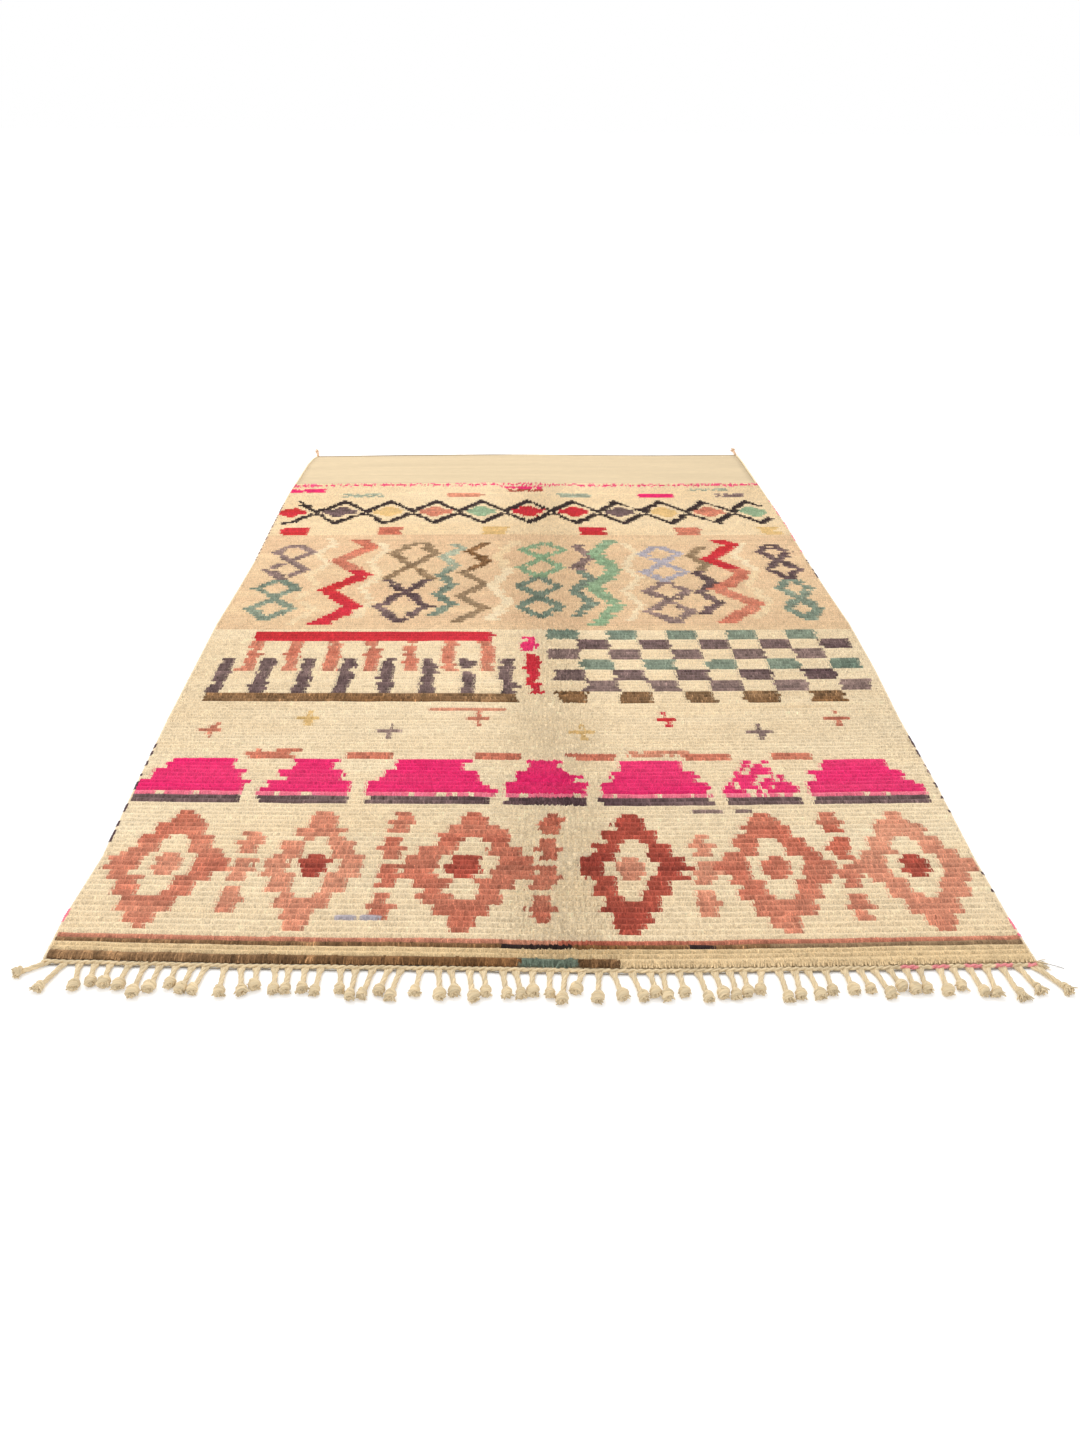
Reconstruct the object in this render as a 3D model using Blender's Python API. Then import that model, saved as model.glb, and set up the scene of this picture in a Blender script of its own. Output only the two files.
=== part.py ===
"""Hand-knotted wool rug of the Moroccan kind, lying flat on the floor.

One woven cloth carries a ribbed pile and, at its far end, a plain flat-woven band.
Overcast cords bind its two long sides, a thin cord closes the far end, a row of
knotted warp tassels leaves the near end, and a yarn tie stands off each far corner.
Metres, +Z up, +Y away from the fringed end, origin under the middle of the cloth.
"""

import math

import bmesh
import bpy
from mathutils import Vector

# Driving sizes of the cloth
ROW_PITCH = 0.014
PILE_ROWS = 178
CLOTH_LENGTH = 2.850
PILE_TOP = 0.0140
GROOVE_DEPTH = 0.0036
FLAT_WEAVE_TOP = 0.0050
PILE_END_SLOPE = 0.004
GAP = 0.0003

# Slow rise and fall of the pile, from years of use
SWELL_HEIGHT = 0.0009
SWELL_ALONG = 4.3
SWELL_ACROSS = 3.1

# The cords at the edges
SELVEDGE_RADIUS = 0.0040
SELVEDGE_GAP = 0.0006
SELVEDGE_START_ROW = 0.1
FAR_CORD_RADIUS = 0.0025
CORD_BEVEL_RESOLUTION = 2

# The strip of twined warp ends that carries the tassels
STRIP_DEPTH = 0.0090
STRIP_TOP = 0.0050

# Tassels and the ties at the far corners
TASSEL_COUNT = 62
TASSEL_SHORTEST = 0.056
TASSEL_LONGEST = 0.084
TASSEL_LEAN = math.radians(15)
TASSEL_CURL = math.radians(14)
TASSEL_CLEARANCE = 0.0012
LINE_STEPS = 6
LEAN_STEP = math.radians(1)
ROOT_HALF_WIDTH = 0.0088
ROOT_MARGIN = 0.012
ROOT_UNEVENNESS = 0.0045
TOP_SHARE = 0.66
FOUND_WITHIN = 0.0001
FACING = 0.5
TIE_LENGTH = 0.072
TIE_CURL = math.radians(12)
TIE_SET_IN = 0.006
TIE_LEAN_LEFT = math.radians(188)
TIE_LEAN_RIGHT = math.radians(176)

# The tassels at the two near corners turn outwards: which tassel, its lean
CORNER_LEANS = {
    0: math.radians(-58),
    1: math.radians(-20),
    TASSEL_COUNT - 2: math.radians(16),
    TASSEL_COUNT - 1: math.radians(38),
}

# Outer side lines, selvedges included: pile row, left x, right x
SIDE_LINES = (
    (0.0, -0.903, 0.893),
    (8.0, -0.904, 0.888),
    (20.0, -0.893, 0.889),
    (38.0, -0.903, 0.900),
    (58.0, -0.912, 0.906),
    (75.0, -0.915, 0.919),
    (94.0, -0.919, 0.925),
    (110.0, -0.912, 0.917),
    (127.0, -0.907, 0.912),
    (147.0, -0.912, 0.913),
    (170.0, -0.916, 0.903),
    (196.0, -0.905, 0.892),
    (201.0, -0.896, 0.888),
    (CLOTH_LENGTH / ROW_PITCH, -0.885, 0.883),
)

# End lines and the crest of the old lengthwise fold: share across, near y, far y, rise
END_LINES = (
    (0.00, -1.386, 1.416, 0.0000),
    (0.20, -1.402, 1.432, 0.0000),
    (0.42, -1.413, 1.442, 0.0010),
    (0.52, -1.420, 1.440, 0.0032),
    (0.62, -1.424, 1.435, 0.0010),
    (0.80, -1.422, 1.431, 0.0000),
    (1.00, -1.418, 1.438, 0.0000),
)

# A tassel from root to tip: share of its length, half width, height
TASSEL_SECTIONS = (
    (0.15, 0.0042, 0.0064),
    (0.60, 0.0046, 0.0078),
    (0.69, 0.0092, 0.0132),
    (0.82, 0.0094, 0.0138),
    (0.88, 0.0062, 0.0092),
    (1.00, 0.0084, 0.0070),
)

# Yarn colours as linear red, green, blue
COLOURS = {
    "wool_pile": (0.80, 0.68, 0.44),
    "selvedge_wool": (0.72, 0.62, 0.45),
    "far_cord_wool": (0.36, 0.31, 0.25),
    "warp_wool": (0.72, 0.63, 0.46),
    "tie_wool": (0.55, 0.36, 0.38),
}
WOOL_ROUGHNESS = 0.95

# Vertices and faces are put in order by their place, mostly along the rug
SORTING_WEIGHTS = Vector((1.0, 31.7, 0.37))


def lookup(table, at, column):
    """The table's column at a value of its first column, straight between two rows."""
    if at <= table[0][0]:
        return table[0][column]
    for low, high in zip(table, table[1:]):
        if at <= high[0]:
            share = (at - low[0]) / (high[0] - low[0])
            return low[column] + share * (high[column] - low[column])
    return table[-1][column]


def scatter(index, channel):
    """A repeatable number from 0 to 1 for the piece with this index."""
    return math.sin(index * 12.9898 + channel * 78.233) * 43758.5453 % 1.0


def side_x(row, share, inset):
    """x of a share across the cloth at a pile row, with both side lines drawn in by inset."""
    left = lookup(SIDE_LINES, row, 1) + inset
    right = lookup(SIDE_LINES, row, 2) - inset
    return left + share * (right - left)


def cloth_point(row, share, inset=2 * SELVEDGE_RADIUS + SELVEDGE_GAP):
    """(x, y) of the cloth at a pile row and a share across it."""
    along = row * ROW_PITCH / CLOTH_LENGTH
    near = lookup(END_LINES, share, 1)
    far = lookup(END_LINES, share, 2)
    return side_x(row, share, inset), near + along * (far - near)


def ridge_top(x, y, share):
    """Height of a row of pile, with the fold's crest and the slow swell."""
    swell = SWELL_HEIGHT * math.sin(SWELL_ALONG * y) * math.cos(SWELL_ACROSS * x)
    return PILE_TOP + lookup(END_LINES, share, 3) + swell


def row_stations():
    """Stations from the near end on: the pile row, and whether it is a ridge, groove or flat."""
    stations = [(0.0, "groove")]
    for row in range(PILE_ROWS):
        stations.append((row + 0.5, "ridge"))
        stations.append((row + 1.0, "groove"))
    flat_start = PILE_ROWS + PILE_END_SLOPE / ROW_PITCH
    stations.append((flat_start, "flat"))
    stations += [(line[0], "flat") for line in SIDE_LINES if line[0] > flat_start]
    return stations


def wool(name):
    """A plain wool material in one of the named colours."""
    made = bpy.data.materials.new(name)
    made.use_nodes = True
    shader = made.node_tree.nodes["Principled BSDF"]
    shader.inputs["Base Color"].default_value = (*COLOURS[name], 1.0)
    shader.inputs["Roughness"].default_value = WOOL_ROUGHNESS
    shader.inputs["Metallic"].default_value = 0.0
    return made


def new_object(name, data, collection, material):
    """An object in the rug's collection, with its material."""
    made = bpy.data.objects.new(name, data)
    made.data.materials.append(material)
    collection.objects.link(made)
    return made


def place_of(part):
    """Sorting key of a vertex or face by its place, so that every run has the same order."""
    centre = part.co if isinstance(part, bmesh.types.BMVert) else part.calc_center_median()
    return centre.dot(SORTING_WEIGHTS)


def mesh_object(name, shape, collection, material):
    """An object from a bmesh, with its faces pointing out."""
    bmesh.ops.recalc_face_normals(shape, faces=shape.faces)
    shape.verts.sort(key=place_of)
    shape.faces.sort(key=place_of)
    mesh = bpy.data.meshes.new(name)
    shape.to_mesh(mesh)
    shape.free()
    return new_object(name, mesh, collection, material)


def top_sheet(stations, shares):
    """An open sheet with a vertex at each station and share, as the cloth's top surface."""
    shape = bmesh.new()
    across, along = len(shares) - 1, len(stations) - 1
    bmesh.ops.create_grid(shape, x_segments=across, y_segments=along, size=0.5)
    for vertex in shape.verts:
        share = shares[round((vertex.co.x + 0.5) * across)]
        row, kind = stations[round((vertex.co.y + 0.5) * along)]
        x, y = cloth_point(row, share)
        ridge = ridge_top(x, y, share)
        heights = {"ridge": ridge, "groove": ridge - GROOVE_DEPTH, "flat": FLAT_WEAVE_TOP}
        vertex.co = (x, y, heights[kind])
    return shape


def woven_rug(collection):
    """The cloth: a flat underside, ribs of pile on top, and the lower flat weave at the far end."""
    shares = [line[0] for line in END_LINES]
    shape = top_sheet(row_stations(), shares)
    made = bmesh.ops.extrude_face_region(shape, geom=shape.faces[:])
    for part in made["geom"]:
        if isinstance(part, bmesh.types.BMVert):
            part.co.z = 0.0
    shape.verts.sort(key=place_of)
    underside = [face for face in shape.faces if all(v.co.z == 0.0 for v in face.verts)]
    bmesh.ops.dissolve_faces(shape, faces=underside)
    bends = [cloth_point(line[0], share) for line in SIDE_LINES for share in (0.0, 1.0)]
    ends = [cloth_point(row, share) for row in (0.0, SIDE_LINES[-1][0]) for share in shares]
    straight = []
    for vertex in shape.verts:
        away = min(math.hypot(vertex.co.x - x, vertex.co.y - y) for x, y in bends + ends)
        if vertex.co.z == 0.0 and away > FOUND_WITHIN:
            straight.append(vertex)
    bmesh.ops.dissolve_verts(shape, verts=straight)
    return mesh_object("woven_rug", shape, collection, wool("wool_pile"))


def edge_cord(name, points, radius, collection, material):
    """A round cord through these points, as a tube with closed ends."""
    curve = bpy.data.curves.new(name, "CURVE")
    curve.dimensions = "3D"
    curve.bevel_depth = radius
    curve.bevel_resolution = CORD_BEVEL_RESOLUTION
    curve.use_fill_caps = True
    spline = curve.splines.new("POLY")
    spline.points.add(len(points) - 1)
    for place, (x, y, z) in zip(spline.points, points):
        place.co = (x, y, z, 1.0)
    return new_object(name, curve, collection, material)


def selvedge(name, share, collection, material):
    """The overcast cord along one long side, outside the cloth's own edge."""
    points = []
    for line in SIDE_LINES:
        row = max(line[0], SELVEDGE_START_ROW)
        x, y = cloth_point(row, share, inset=SELVEDGE_RADIUS)
        points.append((x, y, SELVEDGE_RADIUS))
    return edge_cord(name, points, SELVEDGE_RADIUS, collection, material)


def far_edge_cord(collection):
    """The thin cord that closes the flat-woven end, between the selvedges."""
    points = []
    for line in END_LINES:
        x, y = cloth_point(SIDE_LINES[-1][0], line[0])
        points.append((x, y + FAR_CORD_RADIUS + GAP, FAR_CORD_RADIUS))
    material = wool("far_cord_wool")
    return edge_cord("far_edge_cord", points, FAR_CORD_RADIUS, collection, material)


def strip_back_y(x):
    """y of the strip's back edge, a gap in front of the cloth's near edge."""
    line = [cloth_point(0.0, row[0]) for row in END_LINES]
    return lookup(line, x, 1) - GAP


def tassel_roots():
    """x of each tassel's root along the strip, unevenly spaced."""
    left = side_x(0.0, 0.0, ROOT_MARGIN)
    right = side_x(0.0, 1.0, ROOT_MARGIN)
    roots = []
    for index in range(TASSEL_COUNT):
        even = left + (right - left) * index / (TASSEL_COUNT - 1)
        at_corner = index in (0, TASSEL_COUNT - 1)
        shift = 0.0 if at_corner else ROOT_UNEVENNESS * (2 * scatter(index, 1) - 1)
        roots.append(even + shift)
    return roots


def tassel_line(root, lean, curl, length, share):
    """(x, y, heading) on a tassel's line, which leaves its root at a lean and curls on its way."""
    x, y = root
    step_length = length * share / LINE_STEPS
    for step in range(LINE_STEPS):
        heading = lean + curl * share * (step + 0.5) / LINE_STEPS
        x += math.sin(heading) * step_length
        y -= math.cos(heading) * step_length
    return x, y, lean + curl * share


def too_close(first, second):
    """True if two tassels come nearer than their clearance anywhere along them."""
    for share_a, half_a, _ in TASSEL_SECTIONS:
        ax, ay, _ = tassel_line(*first, share_a)
        for share_b, half_b, _ in TASSEL_SECTIONS:
            bx, by, _ = tassel_line(*second, share_b)
            if math.hypot(ax - bx, ay - by) < half_a + half_b + TASSEL_CLEARANCE:
                return True
    return False


def tassel_lay():
    """Root, lean, curl and length of each tassel, each turned until it is clear of the last."""
    lay = []
    for index, x in enumerate(tassel_roots()):
        root = (x, strip_back_y(x) - STRIP_DEPTH)
        drift = math.sin(index * 0.83) * math.sin(index * 0.31 + 1.0)
        lean = TASSEL_LEAN * (drift + scatter(index, 2) - 0.5)
        lean = CORNER_LEANS.get(index, lean)
        curl = TASSEL_CURL * (2 * scatter(index, 3) - 1)
        length = TASSEL_SHORTEST + (TASSEL_LONGEST - TASSEL_SHORTEST) * scatter(index, 4)
        while lay and too_close(lay[-1], (root, lean, curl, length)):
            lean += LEAN_STEP
        lay.append((root, lean, curl, length))
    return lay


def section_corners(tassel, share, half, height):
    """Corners of a tassel's section, flat on the floor and narrower on top: two low, two high."""
    x, y, heading = tassel_line(*tassel, share)
    corners = []
    for side, z in ((-1.0, 0.0), (1.0, 0.0), (-TOP_SHARE, height), (TOP_SHARE, height)):
        reach = side * half
        corners.append((x + reach * math.cos(heading), y + reach * math.sin(heading), z))
    return corners


def draw_out(shape, face, tassel):
    """Draws a tassel out of an upright face of four corners, one section after another."""
    x, y, heading = tassel_line(*tassel, 0.0)
    middle = sum(vertex.co.z for vertex in face.verts) / 4
    order = []
    for vertex in face.verts:
        across = (vertex.co.x - x) * math.cos(heading) + (vertex.co.y - y) * math.sin(heading)
        order.append(2 * (vertex.co.z > middle) + (across > 0))
    for share, half, height in TASSEL_SECTIONS:
        face = bmesh.ops.extrude_discrete_faces(shape, faces=[face])["faces"][0]
        corners = section_corners(tassel, share, half, height)
        for vertex, corner in zip(face.verts, order):
            vertex.co = corners[corner]


def near_fringe(collection):
    """The twined strip at the near end with every tassel drawn out of its front."""
    lay = tassel_lay()
    stations = [side_x(0.0, 0.0, 0.0)]
    for (x, _), *_ in lay:
        stations += [x - ROOT_HALF_WIDTH, x + ROOT_HALF_WIDTH]
    stations.append(side_x(0.0, 1.0, 0.0))
    shape = bmesh.new()
    along = len(stations) - 1
    bmesh.ops.create_grid(shape, x_segments=along, y_segments=1, size=0.5)
    for vertex in shape.verts:
        x = stations[round((vertex.co.x + 0.5) * along)]
        in_front = vertex.co.y < 0
        vertex.co = (x, strip_back_y(x) - in_front * STRIP_DEPTH, 0.0)
    made = bmesh.ops.extrude_face_region(shape, geom=shape.faces[:])
    for part in made["geom"]:
        if isinstance(part, bmesh.types.BMVert):
            part.co.z = STRIP_TOP
    bmesh.ops.recalc_face_normals(shape, faces=shape.faces)
    fronts = [face for face in shape.faces if face.normal.y < -FACING]
    fronts.sort(key=lambda face: face.calc_center_median().x)
    for tassel, face in zip(lay, fronts[1::2]):
        draw_out(shape, face, tassel)
    return mesh_object("near_fringe", shape, collection, wool("warp_wool"))


def corner_tie(name, share, lean, collection, material):
    """A knotted end of yarn that lies on the floor behind a far corner."""
    x, y = cloth_point(SIDE_LINES[-1][0], share, inset=TIE_SET_IN)
    root = (x, y + 2 * FAR_CORD_RADIUS + 2 * GAP)
    tassel = (root, lean, TIE_CURL, TIE_LENGTH)
    shape = bmesh.new()
    _, half, height = TASSEL_SECTIONS[0]
    start = [shape.verts.new(corner) for corner in section_corners(tassel, 0.0, half, height)]
    low_left, low_right, high_left, high_right = start
    face = shape.faces.new((low_left, low_right, high_right, high_left))
    draw_out(shape, face, tassel)
    rim = [edge for edge in shape.edges if edge.is_boundary]
    bmesh.ops.holes_fill(shape, edges=rim, sides=4)
    return mesh_object(name, shape, collection, material)


def main():
    for old in list(bpy.data.objects):
        bpy.data.objects.remove(old, do_unlink=True)
    rug = bpy.data.collections.new("moroccan_rug")
    bpy.context.scene.collection.children.link(rug)
    woven_rug(rug)
    selvedge_wool = wool("selvedge_wool")
    selvedge("selvedge_left", 0.0, rug, selvedge_wool)
    selvedge("selvedge_right", 1.0, rug, selvedge_wool)
    far_edge_cord(rug)
    near_fringe(rug)
    tie_wool = wool("tie_wool")
    corner_tie("corner_tie_left", 0.0, TIE_LEAN_LEFT, rug, tie_wool)
    corner_tie("corner_tie_right", 1.0, TIE_LEAN_RIGHT, rug, tie_wool)


main()
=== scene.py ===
"""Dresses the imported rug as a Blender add-on would: ground weave, knotted pile, edges, fringe, stage.

The outline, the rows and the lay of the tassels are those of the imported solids.
Metres, +Z up, +Y from the tasselled end to the flat-woven end.
"""

import math

import bpy
import numpy as np
from mathutils import Matrix, Vector


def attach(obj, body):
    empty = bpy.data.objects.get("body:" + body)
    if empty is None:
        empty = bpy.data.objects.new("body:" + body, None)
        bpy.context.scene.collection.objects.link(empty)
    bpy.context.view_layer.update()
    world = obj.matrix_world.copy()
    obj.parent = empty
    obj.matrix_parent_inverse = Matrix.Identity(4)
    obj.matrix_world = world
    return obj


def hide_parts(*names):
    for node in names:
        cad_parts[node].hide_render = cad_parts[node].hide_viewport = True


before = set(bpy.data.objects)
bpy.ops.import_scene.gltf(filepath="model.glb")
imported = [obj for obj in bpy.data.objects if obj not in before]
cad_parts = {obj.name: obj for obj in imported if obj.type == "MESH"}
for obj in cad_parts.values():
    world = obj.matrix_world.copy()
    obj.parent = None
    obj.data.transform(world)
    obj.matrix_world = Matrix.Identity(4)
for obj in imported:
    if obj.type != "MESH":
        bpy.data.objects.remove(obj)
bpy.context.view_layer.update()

bl_info = {
    "name": "Moroccan Rug",
    "version": (1, 0, 0),
    "blender": (4, 5, 0),
    "location": "3D View > Sidebar > Rug",
    "description": "Weaves, knots and fringes a wool rug of the Moroccan kind",
    "category": "Add Mesh",
}

BAKE_MAP = "OFBake"
COLOUR_LAYER = "yarn_colour"
LAY_LAYER = "yarn_lay"

# The cloth as it is in the solids
ROW_PITCH = 0.014
CLOTH_LENGTH = 2.850
GAP = 0.0003
CLOTH_INSET = 0.0086

# Sides of the cloth: pile row, x at the left, x at the right, over the overcast edges
SIDE_LINES = (
    (0, -0.903, 0.893), (8, -0.904, 0.888), (20, -0.893, 0.889), (38, -0.903, 0.900),
    (58, -0.912, 0.906), (75, -0.915, 0.919), (94, -0.919, 0.925), (110, -0.912, 0.917),
    (127, -0.907, 0.912), (147, -0.912, 0.913), (170, -0.916, 0.903), (196, -0.905, 0.892),
    (201, -0.896, 0.888), (CLOTH_LENGTH / ROW_PITCH, -0.885, 0.883),
)

# Ends of the cloth: share across, y of the near end, y of the far end
END_LINES = (
    (0.00, -1.386, 1.416), (0.20, -1.402, 1.432), (0.42, -1.413, 1.442), (0.52, -1.420, 1.440),
    (0.62, -1.424, 1.435), (0.80, -1.422, 1.431), (1.00, -1.418, 1.438),
)

# The old lengthwise fold: share across of its crest, its half width as a share, its rise
FOLD_SHARE = 0.52
FOLD_HALF_WIDTH = 0.055
FOLD_RISE = 0.0032
FOLD_PARTING = 0.0046

# The tassels' lay, worked out as the solids have it
TASSEL_COUNT = 62
TASSEL_SHORTEST = 0.056
TASSEL_LONGEST = 0.084
TASSEL_LEAN = math.radians(15)
TASSEL_CURL = math.radians(14)
TASSEL_CLEARANCE = 0.0012
LINE_STEPS = 6
LEAN_STEP = math.radians(1)
ROOT_MARGIN = 0.012
ROOT_UNEVENNESS = 0.0045
STRIP_DEPTH = 0.0090
CORNER_LEANS = {
    0: math.radians(-58),
    1: math.radians(-20),
    TASSEL_COUNT - 2: math.radians(16),
    TASSEL_COUNT - 1: math.radians(38),
}

# A tassel's solid: share of its length, half width there
TASSEL_SOLID = (
    (0.15, 0.0042), (0.60, 0.0046), (0.69, 0.0092), (0.82, 0.0094), (0.88, 0.0062), (1.00, 0.0084),
)

# The ties behind the far corners
TIE_LENGTH = 0.072
TIE_CURL = math.radians(12)
TIE_SET_IN = 0.006
TIE_STAND_OFF = 0.0056
TIE_TUCKED_IN = -0.03
TIE_LEANS = {"corner_tie_left": math.radians(188), "corner_tie_right": math.radians(176)}

# How a yarn drifts along the rug: yarn, its partner, how far towards it, knot-to-knot unevenness
YARN_DRIFTS = (
    ("cream", "straw", 0.55, 0.035),
    ("tan", "straw", 0.45, 0.050),
    ("peach", "straw", 0.70, 0.040),
    ("straw", "cream", 0.50, 0.035),
    ("brick", "salmon", 0.75, 0.110),
    ("salmon", "brick", 0.45, 0.110),
    ("oxblood", "brick", 0.60, 0.120),
    ("red", "magenta", 0.25, 0.070),
    ("magenta", "pink", 0.22, 0.050),
    ("pink", "magenta", 0.35, 0.080),
    ("aubergine", "mauve", 0.55, 0.180),
    ("mauve", "aubergine", 0.45, 0.160),
    ("brown", "taupe", 0.45, 0.230),
    ("taupe", "brown", 0.40, 0.120),
    ("teal", "sage", 0.45, 0.140),
    ("sage", "teal", 0.30, 0.120),
    ("green", "sage", 0.40, 0.100),
    ("ochre", "straw", 0.35, 0.060),
    ("lilac", "mauve", 0.35, 0.080),
    ("black", "aubergine", 0.30, 0.150),
)
YARN_NAMES = tuple(row[0] for row in YARN_DRIFTS)


def yarn(label, default):
    """A colour property for one yarn."""
    words = f"Linear colour of the {label.lower()} yarn"
    return bpy.props.FloatVectorProperty(
        name=label, description=words, subtype="COLOR", size=3, min=0.0, max=1.0, default=default
    )


def length(label, words, default):
    """A length property in metres."""
    return bpy.props.FloatProperty(
        name=label, description=words, default=default, min=0.0, precision=4, unit="LENGTH"
    )


class RugYarnSettings(bpy.types.PropertyGroup):
    """Yarn colours."""

    cream: yarn("Cream", (0.91, 0.745, 0.510))
    tan: yarn("Tan", (0.79, 0.580, 0.320))
    peach: yarn("Peach", (0.79, 0.540, 0.330))
    straw: yarn("Straw", (0.88, 0.665, 0.405))
    brick: yarn("Brick", (0.57, 0.150, 0.090))
    salmon: yarn("Salmon", (0.76, 0.350, 0.220))
    oxblood: yarn("Oxblood", (0.42, 0.070, 0.048))
    red: yarn("Red", (0.60, 0.038, 0.030))
    magenta: yarn("Magenta", (0.85, 0.018, 0.160))
    pink: yarn("Pink", (0.95, 0.230, 0.310))
    aubergine: yarn("Aubergine", (0.095, 0.052, 0.058))
    mauve: yarn("Mauve", (0.34, 0.235, 0.200))
    brown: yarn("Brown", (0.24, 0.112, 0.040))
    taupe: yarn("Taupe", (0.36, 0.250, 0.145))
    teal: yarn("Teal", (0.17, 0.225, 0.170))
    sage: yarn("Sage", (0.45, 0.470, 0.340))
    green: yarn("Green", (0.28, 0.420, 0.240))
    ochre: yarn("Ochre", (0.76, 0.500, 0.190))
    lilac: yarn("Lilac", (0.50, 0.460, 0.500))
    black: yarn("Black", (0.034, 0.022, 0.018))
    band: yarn("Flat band", (0.655, 0.518, 0.330))
    warp: yarn("Warp", (0.73, 0.580, 0.365))
    header: yarn("Header", (0.42, 0.360, 0.290))
    edging: yarn("Far edging", (0.50, 0.410, 0.300))


class RugPileSettings(bpy.types.PropertyGroup):
    """The knotted pile."""

    rows: bpy.props.IntProperty(name="Rows", description="Rows of knots", default=178, min=150, max=178)
    knots: bpy.props.IntProperty(
        name="Knots", description="Knots in a row", default=150, min=60, max=150
    )
    height: length("Height", "Height of the pile above the floor", 0.0142)
    slope: length("Slope", "How far a tuft leans towards the near end", 0.0062)
    ground_top: length("Ground top", "Height of the woven ground under the pile", 0.0036)
    flat_top: length("Flat weave top", "Height of the flat-woven band", 0.0048)
    rib_pitch: length("Rib pitch", "Distance between weft ribs of the flat-woven band", 0.0050)


class RugFringeSettings(bpy.types.PropertyGroup):
    """Cords, knots and tassels."""

    ply_radius: length("Ply radius", "Radius of one ply of a tassel's cord", 0.0031)
    ply_pitch: length("Ply pitch", "Length of one turn of a tassel's cord", 0.0340)
    knot_radius: length("Knot radius", "Outer radius of a tassel's knot", 0.0110)
    fray_length: length("Fray length", "Length of the loose ends past the knot", 0.0072)
    twining_radius: length("Twining radius", "Radius of one strand of the near twining", 0.0027)
    twining_pitch: length("Twining pitch", "Length of one turn of the near twining", 0.0280)
    overcast_pitch: length("Overcast pitch", "Distance between turns of the overcast edge", 0.0050)


class RugStageSettings(bpy.types.PropertyGroup):
    """Floor, lights and camera."""

    camera_place: bpy.props.FloatVectorProperty(
        name="Camera place", description="Where the camera stands", subtype="TRANSLATION",
        unit="LENGTH", size=3, default=(-0.0425, -2.6591, 1.3412),
    )
    camera_turn: bpy.props.FloatVectorProperty(
        name="Camera turn", description="Yaw to the right, pitch down and roll of the camera",
        subtype="EULER", unit="ROTATION", size=3,
        default=(math.radians(1.417), math.radians(33.073), math.radians(0.5)),
    )
    lens: bpy.props.FloatProperty(
        name="Lens", description="Focal length of the camera in millimetres", default=24.71, min=1.0
    )
    floor_colour: bpy.props.FloatVectorProperty(
        name="Floor", description="Linear colour of the floor", subtype="COLOR", size=3,
        min=0.0, max=1.0, default=(0.93, 0.93, 0.93),
    )
    floor_glow: bpy.props.FloatProperty(
        name="Floor glow", default=0.14,
        description="Light that the floor gives off, so that it stays white far away",
    )
    sky_strength: bpy.props.FloatProperty(
        name="Sky strength", description="Strength of the even light from all round", default=1.0
    )
    key_power: bpy.props.FloatProperty(
        name="Key power", description="Power of the large soft lamp in watts", default=122.0
    )


def settings():
    """The scene's rug settings."""
    scene = bpy.context.scene
    return scene.rug_yarn, scene.rug_pile, scene.rug_fringe, scene.rug_stage


def scatter(index, channel):
    """A repeatable number from 0 to 1, the one that the solids use."""
    return math.sin(index * 12.9898 + channel * 78.233) * 43758.5453 % 1.0


def cloth_points(row, share, inset=CLOTH_INSET):
    """x and y of the cloth at a pile row and a share across it, as arrays."""
    rows, left, right = np.array(SIDE_LINES).T
    shares, near, far = np.array(END_LINES).T
    low = np.interp(row, rows, left) + inset
    high = np.interp(row, rows, right) - inset
    near, far = np.interp(share, shares, near), np.interp(share, shares, far)
    return low + share * (high - low), near + row * ROW_PITCH / CLOTH_LENGTH * (far - near)


LAST_ROW = CLOTH_LENGTH / ROW_PITCH
END_SHARES = np.array(END_LINES)[:, 0]
SIDE_ROWS = np.array(SIDE_LINES)[:, 0]
NEAR_LINE = np.stack(cloth_points(0.0, END_SHARES), axis=-1)
FAR_LINE = np.stack(cloth_points(LAST_ROW, END_SHARES), axis=-1)
LEFT_LINE = np.stack(cloth_points(SIDE_ROWS, 0.0), axis=-1)
RIGHT_LINE = np.stack(cloth_points(SIDE_ROWS, 1.0), axis=-1)


def fold_weight(share):
    """1 on the crest of the old fold, falling to 0 beside it."""
    return np.exp(-(((share - FOLD_SHARE) / FOLD_HALF_WIDTH) ** 2))


def soft_noise(rng, rows, columns, row_step, column_step):
    """A smooth random field from -1 to 1 with about one hill to each pair of steps."""
    tall, wide = int(rows / row_step) + 2, int(columns / column_step) + 2
    coarse = rng.uniform(-1.0, 1.0, (tall, wide))
    across = np.linspace(0, wide - 1.001, columns)
    widened = np.array([np.interp(across, np.arange(wide), line) for line in coarse])
    up = np.linspace(0, tall - 1.001, rows)
    return np.array([np.interp(up, np.arange(tall), line) for line in widened.T]).T


# The design, charted knot by knot: row 0 is at the near end, and knot 0 at the left.
# It is a plain one of the kind, made of common motifs.

# Stripes at the near end: first row, last row, share from, share to, yarn
END_STRIPES = (
    (0, 0, 0.00, 0.58, "brown"),
    (0, 0, 0.48, 0.53, "teal"),
    (0, 0, 0.58, 1.00, "tan"),
    (1, 2, 0.00, 1.00, "tan"),
    (3, 3, 0.00, 1.00, "brown"),
    (3, 3, 0.46, 0.53, "black"),
    (3, 3, 0.65, 0.68, "black"),
    (3, 3, 0.74, 1.00, "taupe"),
    (4, 4, 0.00, 0.52, "salmon"),
    (4, 4, 0.52, 1.00, "brick"),
)

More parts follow.
